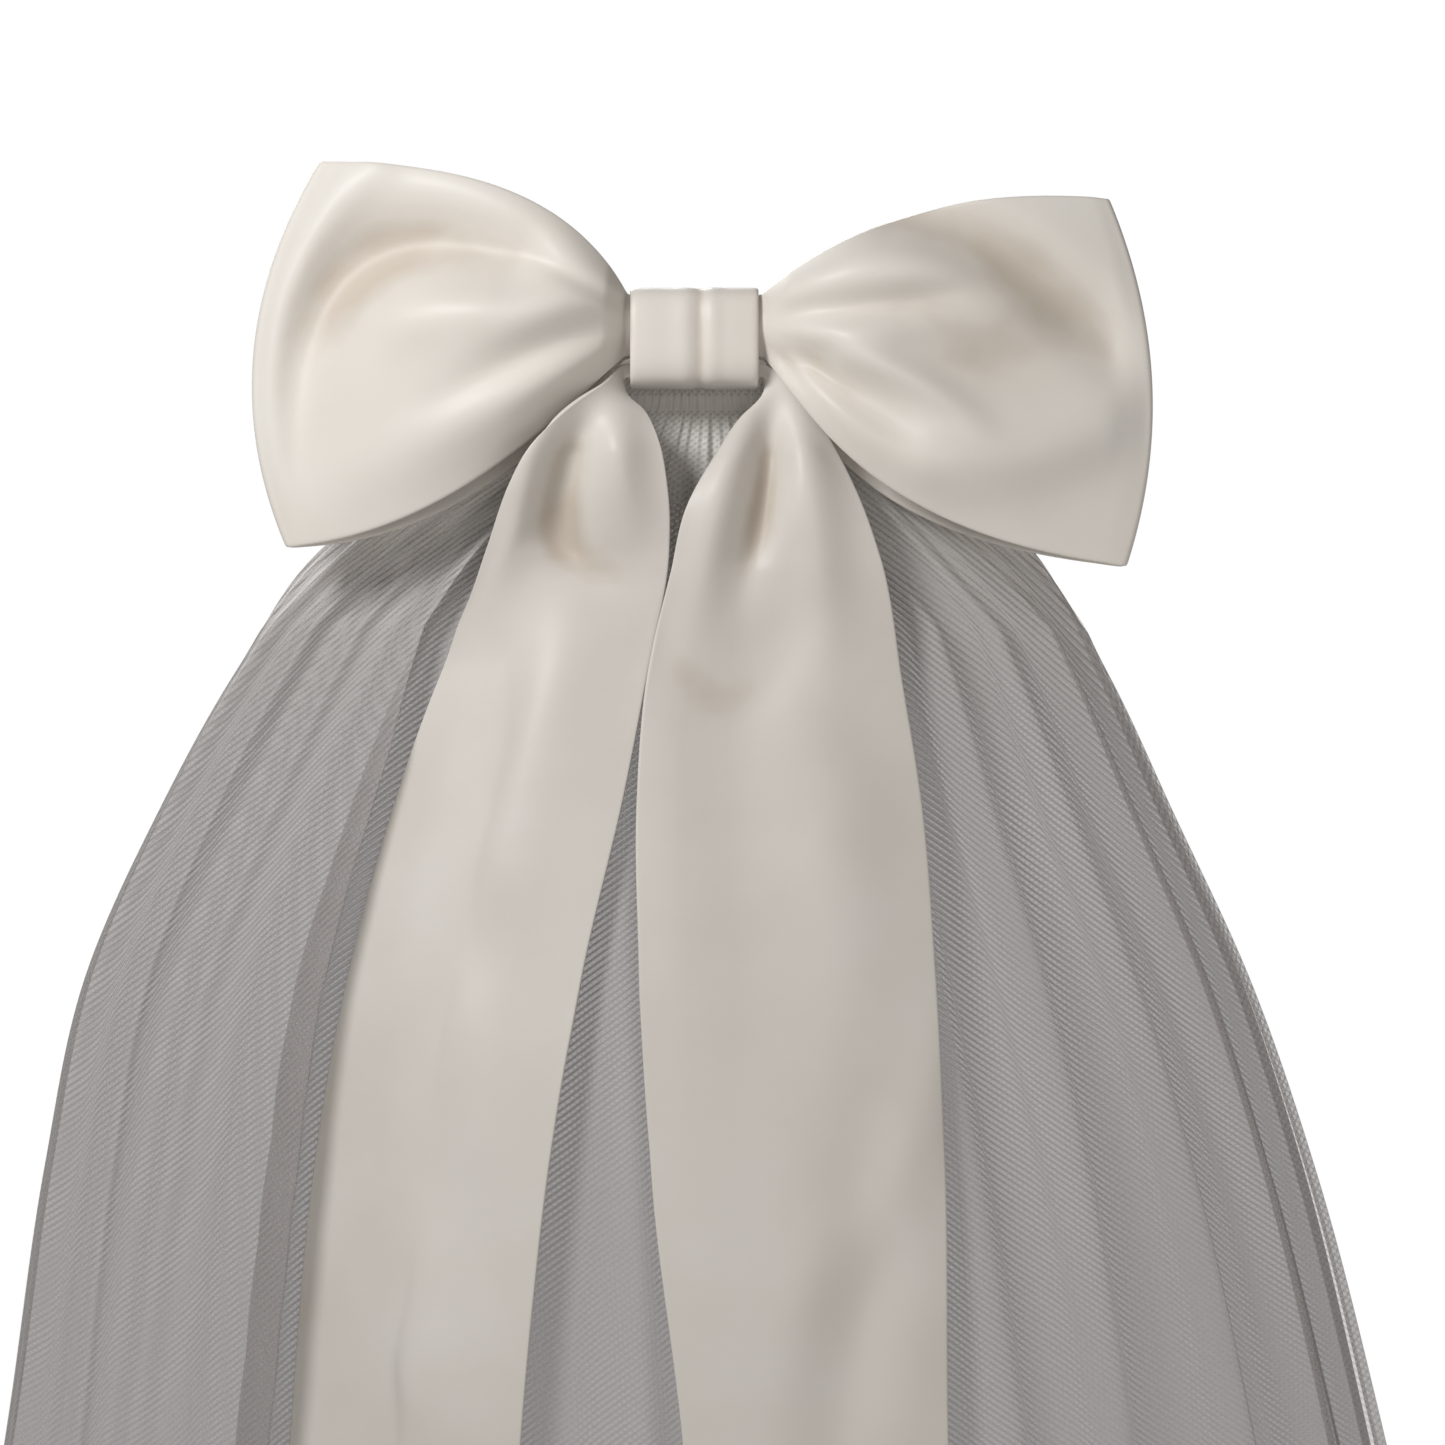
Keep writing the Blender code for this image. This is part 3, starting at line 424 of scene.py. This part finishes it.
# Ridges (positive height) and troughs (negative height): start, bend and end, then the width and the height.
LOOP_CREASES = {
    "left": (
        (-16.0, 8.0, -46.0, 44.0, -96.0, 38.0, 8.0, 3.6),
        (-46.0, 18.0, -102.0, 38.0, -100.0, -44.0, 10.0, -7.8),
        (-80.0, 42.0, -122.0, 4.0, -98.0, -62.0, 6.0, 3.2),
        (-16.0, 5.0, -44.0, 9.0, -88.0, 3.0, 9.5, 5.0),
        (-16.0, 3.5, -34.0, 0.0, -70.0, -22.0, 5.5, -4.6),
        (-16.0, -2.0, -44.0, -12.0, -96.0, -44.0, 9.0, 3.6),
        (-16.0, 6.5, -27.0, 12.0, -46.0, 22.0, 2.6, -1.8),
        (-16.0, -2.5, -26.0, -10.0, -46.0, -24.0, 2.6, -1.6),
    ),
    "right": (
        (16.0, 10.0, 42.0, 22.0, 78.0, 14.0, 7.5, 4.4),
        (16.0, 5.0, 42.0, 4.0, 80.0, 13.0, 4.2, -4.2),
        (16.0, 2.0, 36.0, 0.0, 62.0, 0.0, 7.0, 3.2),
        (56.0, -2.0, 78.0, -8.0, 96.0, -4.0, 10.0, -3.4),
        (16.0, 0.5, 32.0, -7.0, 60.0, -30.0, 5.2, -6.6),
        (52.0, 30.0, 86.0, 22.0, 120.0, -22.0, 8.5, -7.2),
        (38.0, -7.0, 58.0, -10.0, 74.0, -26.0, 4.5, 3.4),
        (16.0, -3.0, 32.0, -24.0, 84.0, -44.0, 8.0, 3.8),
        (60.0, -30.0, 98.0, -34.0, 120.0, -6.0, 9.0, 4.2),
        (16.0, -1.0, 25.0, -10.0, 40.0, -30.0, 2.4, -1.8),
    ),
}


def cubic(points, t):
    a, b, c, d = (np.asarray(p, float) for p in points)
    t = np.asarray(t, float)[..., None]
    return a * (1 - t) ** 3 + 3 * b * t * (1 - t) ** 2 + 3 * c * t * t * (1 - t) + d * t**3


def crease_height(x, z, rows):
    """The sum of the ridges and troughs at points x, z. Each is highest a third of the way and dies out."""
    total = np.zeros_like(x)
    steps = np.linspace(0.0, 1.0, 61)
    fade = np.sin(np.pi * (0.25 + 0.75 * steps))
    for start_x, start_z, bend_x, bend_z, end_x, end_z, width, height in rows:
        line_x = start_x * (1 - steps) ** 2 + 2 * bend_x * steps * (1 - steps) + end_x * steps**2
        line_z = start_z * (1 - steps) ** 2 + 2 * bend_z * steps * (1 - steps) + end_z * steps**2
        away = np.hypot(x[..., None] - line_x, z[..., None] - line_z)
        total += height * (fade * np.exp(-((away / width) ** 2))).max(axis=-1)
    return total


def satin_loop(side):
    """The points of a loop's outer skin, rows from its lower edge to its upper one and columns round the loop,
    and how much painted shade each gets for lying in a trough."""
    shape = LOOP_SHAPES[side]
    mirror = shape["side"]
    front_u = np.concatenate([np.linspace(0.0, 0.2, 14, endpoint=False), np.linspace(0.2, 0.97, 56)])
    back_u = np.concatenate([np.linspace(0.96, 0.2, 34, endpoint=False), np.linspace(0.2, 0.0, 10)])
    fold_angles = np.radians(np.linspace(-90.0, 90.0, 9))
    low_corner, high_corner = np.array(shape["bottom"][3]), np.array(shape["top"][3])

    def patch(u, v, drop):
        w = (v + 1) / 2
        low, high = cubic(shape["bottom"], u), cubic(shape["top"], u)
        low = low - np.array((0.0, 1.0)) * (drop * np.sin(np.pi * np.clip(u, 0, 1)) ** 1.2)[..., None]
        chord = low_corner + (high_corner - low_corner) * w[..., None]
        edge = chord + np.array((1.0, 0.0)) * (shape["outer_bulge"] * (1 - v**2))[..., None]
        flat = low + (high - low) * w[..., None]
        return flat + (edge - chord) * (u**2)[..., None]

    rows, crease_shade = [], []
    for v in np.linspace(-1.0, 1.0, 71):
        depth = 7.0 - 3.0 * v**2
        front = patch(front_u, np.full_like(front_u, v), 0.0)
        belly = LOOP_BELLY * (1 - 0.5 * v**2) * np.sin(np.pi * front_u)
        base = -depth + (LOOP_OUTER_Y + depth) * front_u**1.5
        ridges = crease_height(mirror * front[:, 0], front[:, 1], LOOP_CREASES[side])
        calm = np.clip(front_u / 0.12, 0, 1) * np.clip((1.0 - front_u) / 0.06, 0, 1)
        front_y = base - belly - ridges * calm - LOOP_FOLD_RADIUS * front_u
        outer_point = patch(np.array([1.0]), np.array([v]), 0.0)[0]
        fold_x = outer_point[0] - LOOP_FOLD_RADIUS + LOOP_FOLD_RADIUS * np.cos(fold_angles)
        fold_y = LOOP_OUTER_Y + LOOP_FOLD_RADIUS * np.sin(fold_angles)
        back = patch(back_u, np.full_like(back_u, v), shape["back_drop"])
        back_y = depth + (LOOP_OUTER_Y - depth) * back_u**1.5 + LOOP_BACK_BELLY * np.sin(np.pi * back_u)
        back_y = back_y + LOOP_FOLD_RADIUS * back_u
        inside = np.array([LOOP_END_INSIDE_KNOT])
        x = np.concatenate([inside, front[:, 0], fold_x, back[:, 0], inside])
        y = np.concatenate([[-depth], front_y, fold_y, back_y, [depth]])
        z = np.concatenate([front[:1, 1], front[:, 1], np.full(9, outer_point[1]), back[:, 1], back[-1:, 1]])
        rows.append(np.stack([x * mirror, y, z], axis=-1))
        # Painted shade: the deeper a point lies in a trough, the darker and warmer its colour is painted.
        trough = np.clip(-ridges * calm / 6.0, 0.0, 1.0)
        crease_shade.append(np.concatenate([[0.0], trough, np.zeros(len(x) - 1 - len(ridges))]))
    return np.array(rows) + KNOT_CENTRE, np.array(crease_shade)


def satin_wall(outer, inside):
    """Both skins of a satin wall. inside is a point on the inner side of the first skin's middle."""
    out = np.cross(np.gradient(outer, axis=0), np.gradient(outer, axis=1))
    out = out / np.maximum(np.linalg.norm(out, axis=-1, keepdims=True), 1e-9)
    row, column = outer.shape[0] // 2, outer.shape[1] // 4
    if np.dot(out[row, column], outer[row, column] - inside) < 0:
        out = -out
    return [outer, outer - out * SATIN_THICKNESS]


satin_grain, given, wanted = new_group(
    "satin_grain",
    [("Vector", "NodeSocketVector", None), ("Weave", "NodeSocketFloat", 1.0),
     ("Mottle", "NodeSocketFloat", 1.0)],
    [("Height", "NodeSocketFloat"), ("Tone", "NodeSocketFloat")],
)
stretch = satin_grain.nodes.new("ShaderNodeMapping")
stretch.inputs["Scale"].default_value = (2600.0, 700.0, 1.0)
satin_grain.links.new(given.outputs["Vector"], stretch.inputs["Vector"])
floats = satin_grain.nodes.new("ShaderNodeTexNoise")
floats.inputs["Scale"].default_value = 1.0
floats.inputs["Detail"].default_value = 2.0
satin_grain.links.new(stretch.outputs["Vector"], floats.inputs["Vector"])
cloudy = satin_grain.nodes.new("ShaderNodeTexNoise")
cloudy.inputs["Scale"].default_value = 26.0
cloudy.inputs["Detail"].default_value = 3.0
satin_grain.links.new(given.outputs["Vector"], cloudy.inputs["Vector"])
for noise, share, result in ((floats, "Weave", "Height"), (cloudy, "Mottle", "Tone")):
    scaled = math_node(satin_grain, "MULTIPLY", noise.outputs["Fac"], given.outputs[share])
    satin_grain.links.new(scaled, wanted.inputs[result])


def satin_material(name, light, deep, creased, roughness):
    """Ivory satin: a broad soft gloss over a fine weave, with a faint mottle where the cloth was pressed. In
    the creases the colour is painted darker and warmer, as painted shade."""
    made = bpy.data.materials.new(name)
    made.use_nodes = True
    tree = made.node_tree
    shader = tree.nodes["Principled BSDF"]
    parts = add_nodes(tree, {
        "uv": "ShaderNodeUVMap", "grain": "ShaderNodeGroup", "tone": "ShaderNodeValToRGB",
        "bump": "ShaderNodeBump", "gloss": "ShaderNodeMapRange", "crease_shade": "ShaderNodeAttribute"})
    parts["uv"].uv_map = "cloth"
    parts["grain"].node_tree = satin_grain
    tree.links.new(parts["uv"].outputs[0], parts["grain"].inputs["Vector"])
    parts["tone"].color_ramp.elements[0].position = 0.30
    parts["tone"].color_ramp.elements[0].color = deep
    parts["tone"].color_ramp.elements[1].position = 0.70
    parts["tone"].color_ramp.elements[1].color = light
    parts["tone"].color_ramp.elements.new(0.0).color = creased
    parts["crease_shade"].attribute_name = "crease_shade"
    # Painted shade: the crease mask pulls the colour down the ramp towards the darker, warmer creased colour.
    crease_shade_amount = math_node(tree, "MULTIPLY", parts["crease_shade"].outputs["Fac"], 0.45)
    toned = math_node(tree, "SUBTRACT", parts["grain"].outputs["Tone"], crease_shade_amount)
    tree.links.new(toned, parts["tone"].inputs["Fac"])
    tree.links.new(parts["tone"].outputs["Color"], shader.inputs["Base Color"])
    parts["gloss"].inputs["To Min"].default_value = roughness - 0.04
    parts["gloss"].inputs["To Max"].default_value = roughness + 0.04
    tree.links.new(parts["grain"].outputs["Tone"], parts["gloss"].inputs["Value"])
    tree.links.new(parts["gloss"].outputs["Result"], shader.inputs["Roughness"])
    parts["bump"].inputs["Strength"].default_value = 0.10
    parts["bump"].inputs["Distance"].default_value = 0.0002
    tree.links.new(parts["grain"].outputs["Height"], parts["bump"].inputs["Height"])
    tree.links.new(parts["bump"].outputs["Normal"], shader.inputs["Normal"])
    shader.inputs["Sheen Weight"].default_value = 0.20
    shader.inputs["Sheen Roughness"].default_value = 0.4
    shader.inputs["Specular IOR Level"].default_value = 0.34
    return made


def finish_satin(piece):
    """Rounds the turned-in edges of a satin wall."""
    round_off = piece.modifiers.new("round_off", "SUBSURF")
    round_off.levels = round_off.render_levels = 1
    bpy.context.view_layer.objects.active = piece
    bpy.ops.object.modifier_apply(modifier=round_off.name)


# Each satin's third colour is the painted shade of its creases.
bow_satin = satin_material("bow_satin", (0.86, 0.825, 0.775, 1.0), (0.82, 0.775, 0.715, 1.0),
                           (0.66, 0.59, 0.51, 1.0), SATIN_ROUGHNESS)
for side, shape in LOOP_SHAPES.items():
    outer, crease_shade = satin_loop(side)
    middle = np.array((shape["side"] * 50.0, 0.0, 0.0)) + KNOT_CENTRE
    flat = arc_uv(outer)[..., ::-1]
    loop = cloth_piece(f"bow_{side}_loop", satin_wall(outer, middle), flat, bow_satin,
                       f"bow_loop_{side}", marks={"crease_shade": crease_shade})
    finish_satin(loop)


# The knot: a narrow band of the same satin, folded lengthwise and wrapped round the middle of the bow, with
# two soft creases where it was pulled tight. It hides the gathers and the ends of the tails.
KNOT_WIDTH = 32.0
KNOT_HEIGHT = 25.0
KNOT_DEPTH = 19.0
KNOT_SQUARENESS = 3.1
# A row for each ridge or trough round the band: its place across, its width and its height.
KNOT_CREASES = ((-12.0, 4.0, 0.16), (-2.5, 2.4, 0.30), (1.2, 1.8, -0.75), (4.6, 2.2, 0.45), (10.0, 3.4, 0.12))
across = np.linspace(-0.5, 0.5, 41) * KNOT_WIDTH
turns = np.linspace(0.0, 2 * np.pi, 120, endpoint=False)
power = 2.0 / KNOT_SQUARENESS
round_y = np.sign(np.cos(turns)) * np.abs(np.cos(turns)) ** power
round_z = np.sign(np.sin(turns)) * np.abs(np.sin(turns)) ** power
skins = []
for wall in (0.0, SATIN_WALL):
    rows, crease_shade = [], []
    for x in across:
        swell = sum(tall * np.exp(-(((x - where) / wide) ** 2)) for where, wide, tall in KNOT_CREASES)
        swell = swell - 0.5 * np.clip((abs(x) / KNOT_WIDTH - 0.45) / 0.05, 0.0, 1.0) ** 2
        y = (KNOT_DEPTH / 2 - wall + swell) * round_y
        z = (KNOT_HEIGHT / 2 - wall + 0.3 * swell) * round_z
        rows.append(np.stack([np.full_like(y, x), y, z], axis=-1))
        # Painted shade: the band's troughs are marked to be coloured darker and warmer.
        crease_shade.append([np.clip(-swell / 0.7, 0.0, 1.0)])
    skins.append(np.array(rows) + KNOT_CENTRE)
knot_satin = satin_material("knot_satin", (0.85, 0.815, 0.765, 1.0), (0.81, 0.765, 0.705, 1.0),
                            (0.66, 0.60, 0.52, 1.0), SATIN_ROUGHNESS)
flat = np.stack(np.meshgrid(np.linspace(0.0, 78.0, 120), across), axis=-1)
knot = cloth_piece("knot_band", skins, flat, knot_satin, "bow_knot", round_about=True,
                   marks={"crease_shade": crease_shade})
finish_satin(knot)


# The two tails: long ribbons of the bow's satin, gathered into the knot at its sides. They turn down over
# the net, spread to their full width and end in a slanted cut.
TAIL_REACH = 4.0
TUCK_SOFTNESS = 0.016
CURLED_FOLD = 1.2
TAIL_COLUMN_NAMES = ("inner_x", "inner_y", "inner_z", "outer_x", "outer_y", "outer_z", "held")
TAIL_STATIONS = {
    "left": (
        (-11.0, -2.6, -10.4, -11.0, -2.6, -6.6, 0.0),
        (-17.6, -3.4, -10.6, -18.0, -4.4, -7.2, 0.0),
        (-16.6, -4.4, -14.2, -21.2, -9.5, -11.0, 0.0),
        (-12.4, -7.0, -18.2, -29.2, -15.6, -17.2, 0.0),
        (-8.8, -10.5, -25.5, -38.5, -17.6, -25.4, 0.0),
        (-6.4, -12.6, -38.0, -47.0, -18.0, -36.0, 0.1),
        (-6.2, -12.5, -55.0, -56.5, -14.0, -54.0, 0.4),
        (-10.8, -10.0, -81.0, -66.0, -10.0, -81.0, 1.0),
        (-17.2, -10.0, -114.0, -76.5, -10.0, -114.0, 1.0),
        (-27.4, -10.0, -158.0, -87.5, -10.0, -158.0, 1.0),
        (-35.0, -10.0, -202.0, -96.0, -10.0, -202.0, 1.0),
        (-42.5, -10.0, -277.0, -102.0, -10.0, -277.0, 1.0),
        (-46.0, -10.0, -350.0, -106.0, -10.0, -352.0, 1.0),
        (-50.0, -10.0, -405.0, -112.0, -10.0, -432.0, 1.0),
    ),
    "right": (
        (11.0, -2.6, -10.4, 11.0, -2.6, -7.0, 0.0),
        (17.6, -3.0, -10.6, 18.0, -3.2, -7.0, 0.0),
        (16.9, -3.8, -14.2, 22.0, -3.8, -9.4, 0.0),
        (11.4, -6.4, -20.0, 28.0, -4.2, -15.6, 0.0),
        (5.4, -11.0, -29.0, 34.6, -5.4, -26.6, 0.0),
        (-1.4, -15.8, -41.0, 40.6, -8.0, -38.6, 0.1),
        (-6.0, -16.4, -59.0, 47.0, -10.0, -57.0, 0.4),
        (-11.6, -12.0, -85.0, 52.0, -10.0, -85.0, 1.0),
        (-14.2, -10.0, -116.0, 56.8, -10.0, -116.0, 1.0),
        (-13.2, -10.0, -158.0, 60.0, -10.0, -158.0, 1.0),
        (-11.0, -10.0, -203.0, 62.0, -10.0, -203.0, 1.0),
        (-2.2, -10.0, -277.0, 62.5, -10.0, -277.0, 1.0),
        (0.0, -10.0, -350.0, 66.0, -10.0, -352.0, 1.0),
        (-1.0, -10.0, -425.0, 70.0, -10.0, -452.0, 1.0),
    ),
}
# The tails' ridges and troughs, with the columns of the loops' ones.
TAIL_CREASES = {
    "left": (
        (-25.0, -12.0, -50.0, -66.0, -6.0, -60.0, 6.6, -6.8),
        (-18.0, -9.0, -19.0, -30.0, -15.0, -50.0, 6.0, 4.6),
        (-26.0, -12.0, -48.0, -28.0, -50.0, -72.0, 5.5, 3.2),
        (-30.0, -70.0, -44.0, -100.0, -52.0, -150.0, 12.0, 2.6),
        (-54.0, -148.0, -42.0, -158.0, -20.0, -180.0, 9.0, -3.0),
        (-64.0, -196.0, -56.0, -226.0, -40.0, -236.0, 11.0, -2.6),
        (-92.0, -250.0, -72.0, -246.0, -44.0, -276.0, 11.0, 2.6),
        (-90.0, -322.0, -72.0, -344.0, -46.0, -330.0, 12.0, -2.4),
    ),
    "right": (
        (15.0, -9.0, 4.0, -36.0, 0.0, -80.0, 6.4, 5.0),
        (19.0, -14.0, 20.0, -44.0, 8.0, -66.0, 4.8, -6.2),
        (21.0, -8.0, 35.0, -40.0, 31.0, -88.0, 7.0, 4.4),
        (-8.0, -78.0, 8.0, -108.0, 29.0, -66.0, 6.8, -3.8),
        (30.0, -96.0, 40.0, -126.0, 38.0, -186.0, 12.0, 2.4),
        (64.0, -184.0, 46.0, -218.0, 20.0, -246.0, 8.0, 3.8),
        (44.0, -206.0, 40.0, -252.0, 30.0, -300.0, 10.0, -4.0),
        (6.0, -326.0, 30.0, -346.0, 60.0, -330.0, 12.0, 2.4),
    ),
}


def place_on_net(x, height, rise):
    """Where across the hollow form the point with this x lies, found by halving the range."""
    low, high = np.full_like(x, -1.0), np.full_like(x, 1.0)
    for _ in range(30):
        middle = (low + high) / 2
        found, _ = net_point(middle, height, rise)
        low = np.where(found < x, middle, low)
        high = np.where(found < x, high, middle)
    return (low + high) / 2


def lies_over(height, x, wanted, tuck=None):
    """The place and the rise of points with the given x that lie as near to the wanted rise as the net allows.
    With tuck they also stay to the right of that fold's foot, under its crest."""
    rise = wanted
    for _ in range(5):
        place = place_on_net(x, height, rise)
        if tuck is not None:
            crest, _ = crest_places(tuck, height)
            foot = crest + 1.7 * tuck[4] + (TAIL_REACH + 0.5) / half_length(height)
            place = foot + TUCK_SOFTNESS * np.log1p(np.exp((place - foot) / TUCK_SOFTNESS))
        floor = np.zeros_like(x)
        for aside in (-1.0, -0.5, 0.0, 0.5, 1.0):
            near = place + aside * TAIL_REACH / half_length(height)
            floor = np.maximum(floor, fold_height(near, height, UPPER_FOLDS))
        under = layer_offset(height) + NET_WALL + 1.2 * SATIN_WALL + 3 * SEAM_GAP
        lowest = floor + under + gather_room(height)
        rise = np.maximum(wanted, lowest)
    return place, rise


def fold_tops(height):
    return layer_offset(height) + 0.80 * section_value("fold", height) * half_length(height) + 5.0


def left_tail_sits(across, height, x, ridges):
    """The left tail lies on the folds, and its outer edge dips into the valley under the curled one."""
    dip = np.clip((across - 0.40) / 0.45, 0.0, 1.0)
    dip = dip * dip * (3 - 2 * dip) * np.clip((-height - 50.0) / 40.0, 0.0, 1.0)
    curled = [fold for fold in UPPER_FOLDS if fold[2] > CURLED_FOLD][0]
    return lies_over(height, x, fold_tops(height) * (1 - 0.85 * dip) + ridges * (1 - dip), curled)


def right_tail_sits(across, height, x, ridges):
    """The right tail lies on the folds, with its inner edge just in front of the left tail's."""
    inner = np.clip((0.3 - across) / 0.12, 0.0, 1.0) * np.clip((height + 190.0) / 40.0, 0.0, 1.0)
    return lies_over(height, x, fold_tops(height) + ridges + 3.4 * inner)


def softened(rise, down, across):
    """The rise evened out over a few steps each way, as heavy satin bridges the net's small folds."""
    for axis, reach in ((0, down), (1, across)):
        steps = np.arange(-3 * reach, 3 * reach + 1)
        weights = np.exp(-((steps / reach) ** 2))
        ends = [(3 * reach, 3 * reach) if k == axis else (0, 0) for k in (0, 1)]
        padded = np.pad(rise, ends, mode="reflect", reflect_type="odd")
        rise = np.apply_along_axis(np.convolve, axis, padded, weights / weights.sum(), mode="valid")
    return rise


def satin_tail(side, sits):
    """The points of a tail's outer skin, rows from the knot to the cut end and columns from the inner edge out,
    and how much painted shade each gets for lying in a trough."""
    given = {name: np.array(values) for name, values in zip(TAIL_COLUMN_NAMES, zip(*TAIL_STATIONS[side]))}
    middle_x = (given["inner_x"] + given["outer_x"]) / 2
    middle_z = (given["inner_z"] + given["outer_z"]) / 2
    along = np.concatenate([[0.0], np.cumsum(np.hypot(np.diff(middle_x), np.diff(middle_z)))])
    turned = along[6]
    at = np.concatenate([np.linspace(0.0, turned, 60, endpoint=False), np.linspace(turned, along[-1], 110)])
    column = {key: smooth_through(along, values, at)[:, None] for key, values in given.items()}
    even = np.linspace(0.0, 1.0, 64)[None, :]
    across = 0.35 * (0.5 - 0.5 * np.cos(np.pi * even)) + 0.65 * even
    x = column["inner_x"] * (1 - across) + column["outer_x"] * across
    z = column["inner_z"] * (1 - across) + column["outer_z"] * across
    free_y = column["inner_y"] * (1 - across) + column["outer_y"] * across
    ridges = crease_height(x, z, TAIL_CREASES[side])
    started = np.clip((at[:, None] - 11.0) / 17.0, 0.0, 1.0)
    started = started * np.clip(4.0 * across * (1 - across), 0.0, 1.0) ** 0.5
    free_y = KNOT_CENTRE[1] + free_y - ridges * started
    height = z + KNOT_CENTRE[2]
    _, plain = sits(across, height, x, 0.0 * ridges)
    place, creased = sits(across, height, x, ridges * started)
    rise = softened(plain, 8, 7) + softened(creased - plain, 3, 3)
    lying_x, lying_y = net_point(place, height, rise)
    held = np.clip(column["held"], 0.0, 1.0)
    x = x * (1 - held) + lying_x * held
    y = free_y * (1 - held) + lying_y * held
    # Painted shade: the troughs of the tails' upper parts are marked to be coloured darker and warmer, fading out
    # further down.
    tight = np.clip((height + 110.0) / 50.0, 0.0, 1.0)
    return np.stack([x, y, height], axis=-1), np.clip(-(ridges * started + 1.0) / 3.6, 0.0, 1.0) * tight


# Painted shade: the tails are the bow's satin, but coloured darker than the bow for the light that falls off down
# them.
shaded_tail_satin = satin_material("shaded_tail_satin", (0.78, 0.745, 0.70, 1.0), (0.73, 0.69, 0.64, 1.0),
                            (0.60, 0.53, 0.45, 1.0), SATIN_ROUGHNESS)
for side, sits in (("left", left_tail_sits), ("right", right_tail_sits)):
    outer, crease_shade = satin_tail(side, sits)
    behind = outer[outer.shape[0] // 2, outer.shape[1] // 4] + np.array((0.0, 50.0, 0.0))
    tail = cloth_piece(f"{side}_tail", satin_wall(outer, behind), arc_uv(outer), shaded_tail_satin,
                       f"tail_{side}", marks={"crease_shade": crease_shade})
    finish_satin(tail)


# The comb is one moulding of clear plastic, a flat bar with a row of teeth. The gathers of both layers are
# sewn over its bar, and its teeth hold the veil.
clear_plastic = bpy.data.materials.new("clear_plastic")
clear_plastic.use_nodes = True
shader = clear_plastic.node_tree.nodes["Principled BSDF"]
shader.inputs["Base Color"].default_value = (0.90, 0.91, 0.91, 1.0)
shader.inputs["Roughness"].default_value = 0.10
shader.inputs["Transmission Weight"].default_value = 0.85
shader.inputs["IOR"].default_value = 1.49
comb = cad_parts["comb"]
for slot in comb.material_slots:
    slot.material = clear_plastic


# A plain pale floor, a white surround and soft light from the upper left. A fill, a side lamp and a rear lamp
# keep the shaded sides from going dark.
FLOOR_DEPTH = 1.0
FLOOR_RADIUS = 2.6
bpy.ops.mesh.primitive_circle_add(vertices=96, radius=FLOOR_RADIUS, fill_type="NGON",
                                  location=(0.0, 0.0, -FLOOR_DEPTH))
floor = bpy.context.object
floor.name = "floor"
floor_paint = bpy.data.materials.new("pale_floor")
floor_paint.use_nodes = True
shader = floor_paint.node_tree.nodes["Principled BSDF"]
shader.inputs["Base Color"].default_value = (0.80, 0.80, 0.80, 1.0)
shader.inputs["Roughness"].default_value = 0.8
shader.inputs["Emission Color"].default_value = (1.0, 0.98, 0.95, 1.0)
shader.inputs["Emission Strength"].default_value = 0.17
floor.data.materials.append(floor_paint)

surround = bpy.data.worlds.new("surround")
surround.use_nodes = True
tree = surround.node_tree
sky = tree.nodes["Background"]
parts = add_nodes(tree, {
    "path": "ShaderNodeLightPath", "seen": "ShaderNodeBackground", "mix": "ShaderNodeMixShader"})
sky.inputs["Color"].default_value = (1.0, 0.91, 0.82, 1.0)
sky.inputs["Strength"].default_value = 0.10
parts["seen"].inputs["Color"].default_value = (1.0, 1.0, 1.0, 1.0)
parts["seen"].inputs["Strength"].default_value = 1.0
tree.links.new(parts["path"].outputs["Is Camera Ray"], parts["mix"].inputs["Fac"])
tree.links.new(sky.outputs[0], parts["mix"].inputs[1])
tree.links.new(parts["seen"].outputs[0], parts["mix"].inputs[2])
tree.links.new(parts["mix"].outputs[0], tree.nodes["World Output"].inputs["Surface"])
bpy.context.scene.world = surround

# A row for each lamp: its place, the point that it faces, its width in metres, its power and its colour.
LIGHTS = (
    ("key", (-0.42, -0.58, 0.34), (-0.02, -0.02, 0.0), 0.26, 4.1, (1.0, 1.0, 0.995)),
    ("fill", (0.12, -0.98, -0.06), (0.02, 0.0, 0.0), 0.5, 1.25, (1.0, 0.975, 0.945)),
    ("right_side", (1.05, -0.28, -0.10), (0.05, 0.0, -0.08), 0.6, 1.2, (1.0, 0.98, 0.95)),
    ("rear", (-0.60, 1.50, 0.90), (0.0, 0.0, -0.20), 1.2, 28.0, (1.0, 1.0, 1.0)),
)
for name, place, target, size, power, colour in LIGHTS:
    bpy.ops.object.light_add(type="AREA", location=place)
    lamp = bpy.context.object
    lamp.name = name
    lamp.data.shape = "DISK"
    lamp.data.size = size
    lamp.data.energy = power
    lamp.data.color = colour
    aim = bpy.data.objects.new(f"{name}_aim", None)
    aim.location = target
    bpy.context.collection.objects.link(aim)
    track = lamp.constraints.new("TRACK_TO")
    track.target = aim
    track.track_axis, track.up_axis = "TRACK_NEGATIVE_Z", "UP_Y"

CAMERA_DISTANCE = 1.2
FRAME_WIDTH = 0.361
bpy.ops.object.camera_add(location=(0.007, -CAMERA_DISTANCE - 0.02, -0.084), rotation=(np.pi / 2, 0.0, 0.0))
camera = bpy.context.object
camera.data.sensor_width = 36.0
camera.data.lens = camera.data.sensor_width * CAMERA_DISTANCE / FRAME_WIDTH
bpy.context.scene.camera = camera
bpy.context.scene.view_settings.view_transform = "Standard"
bpy.context.scene.cycles.transparent_max_bounces = 24
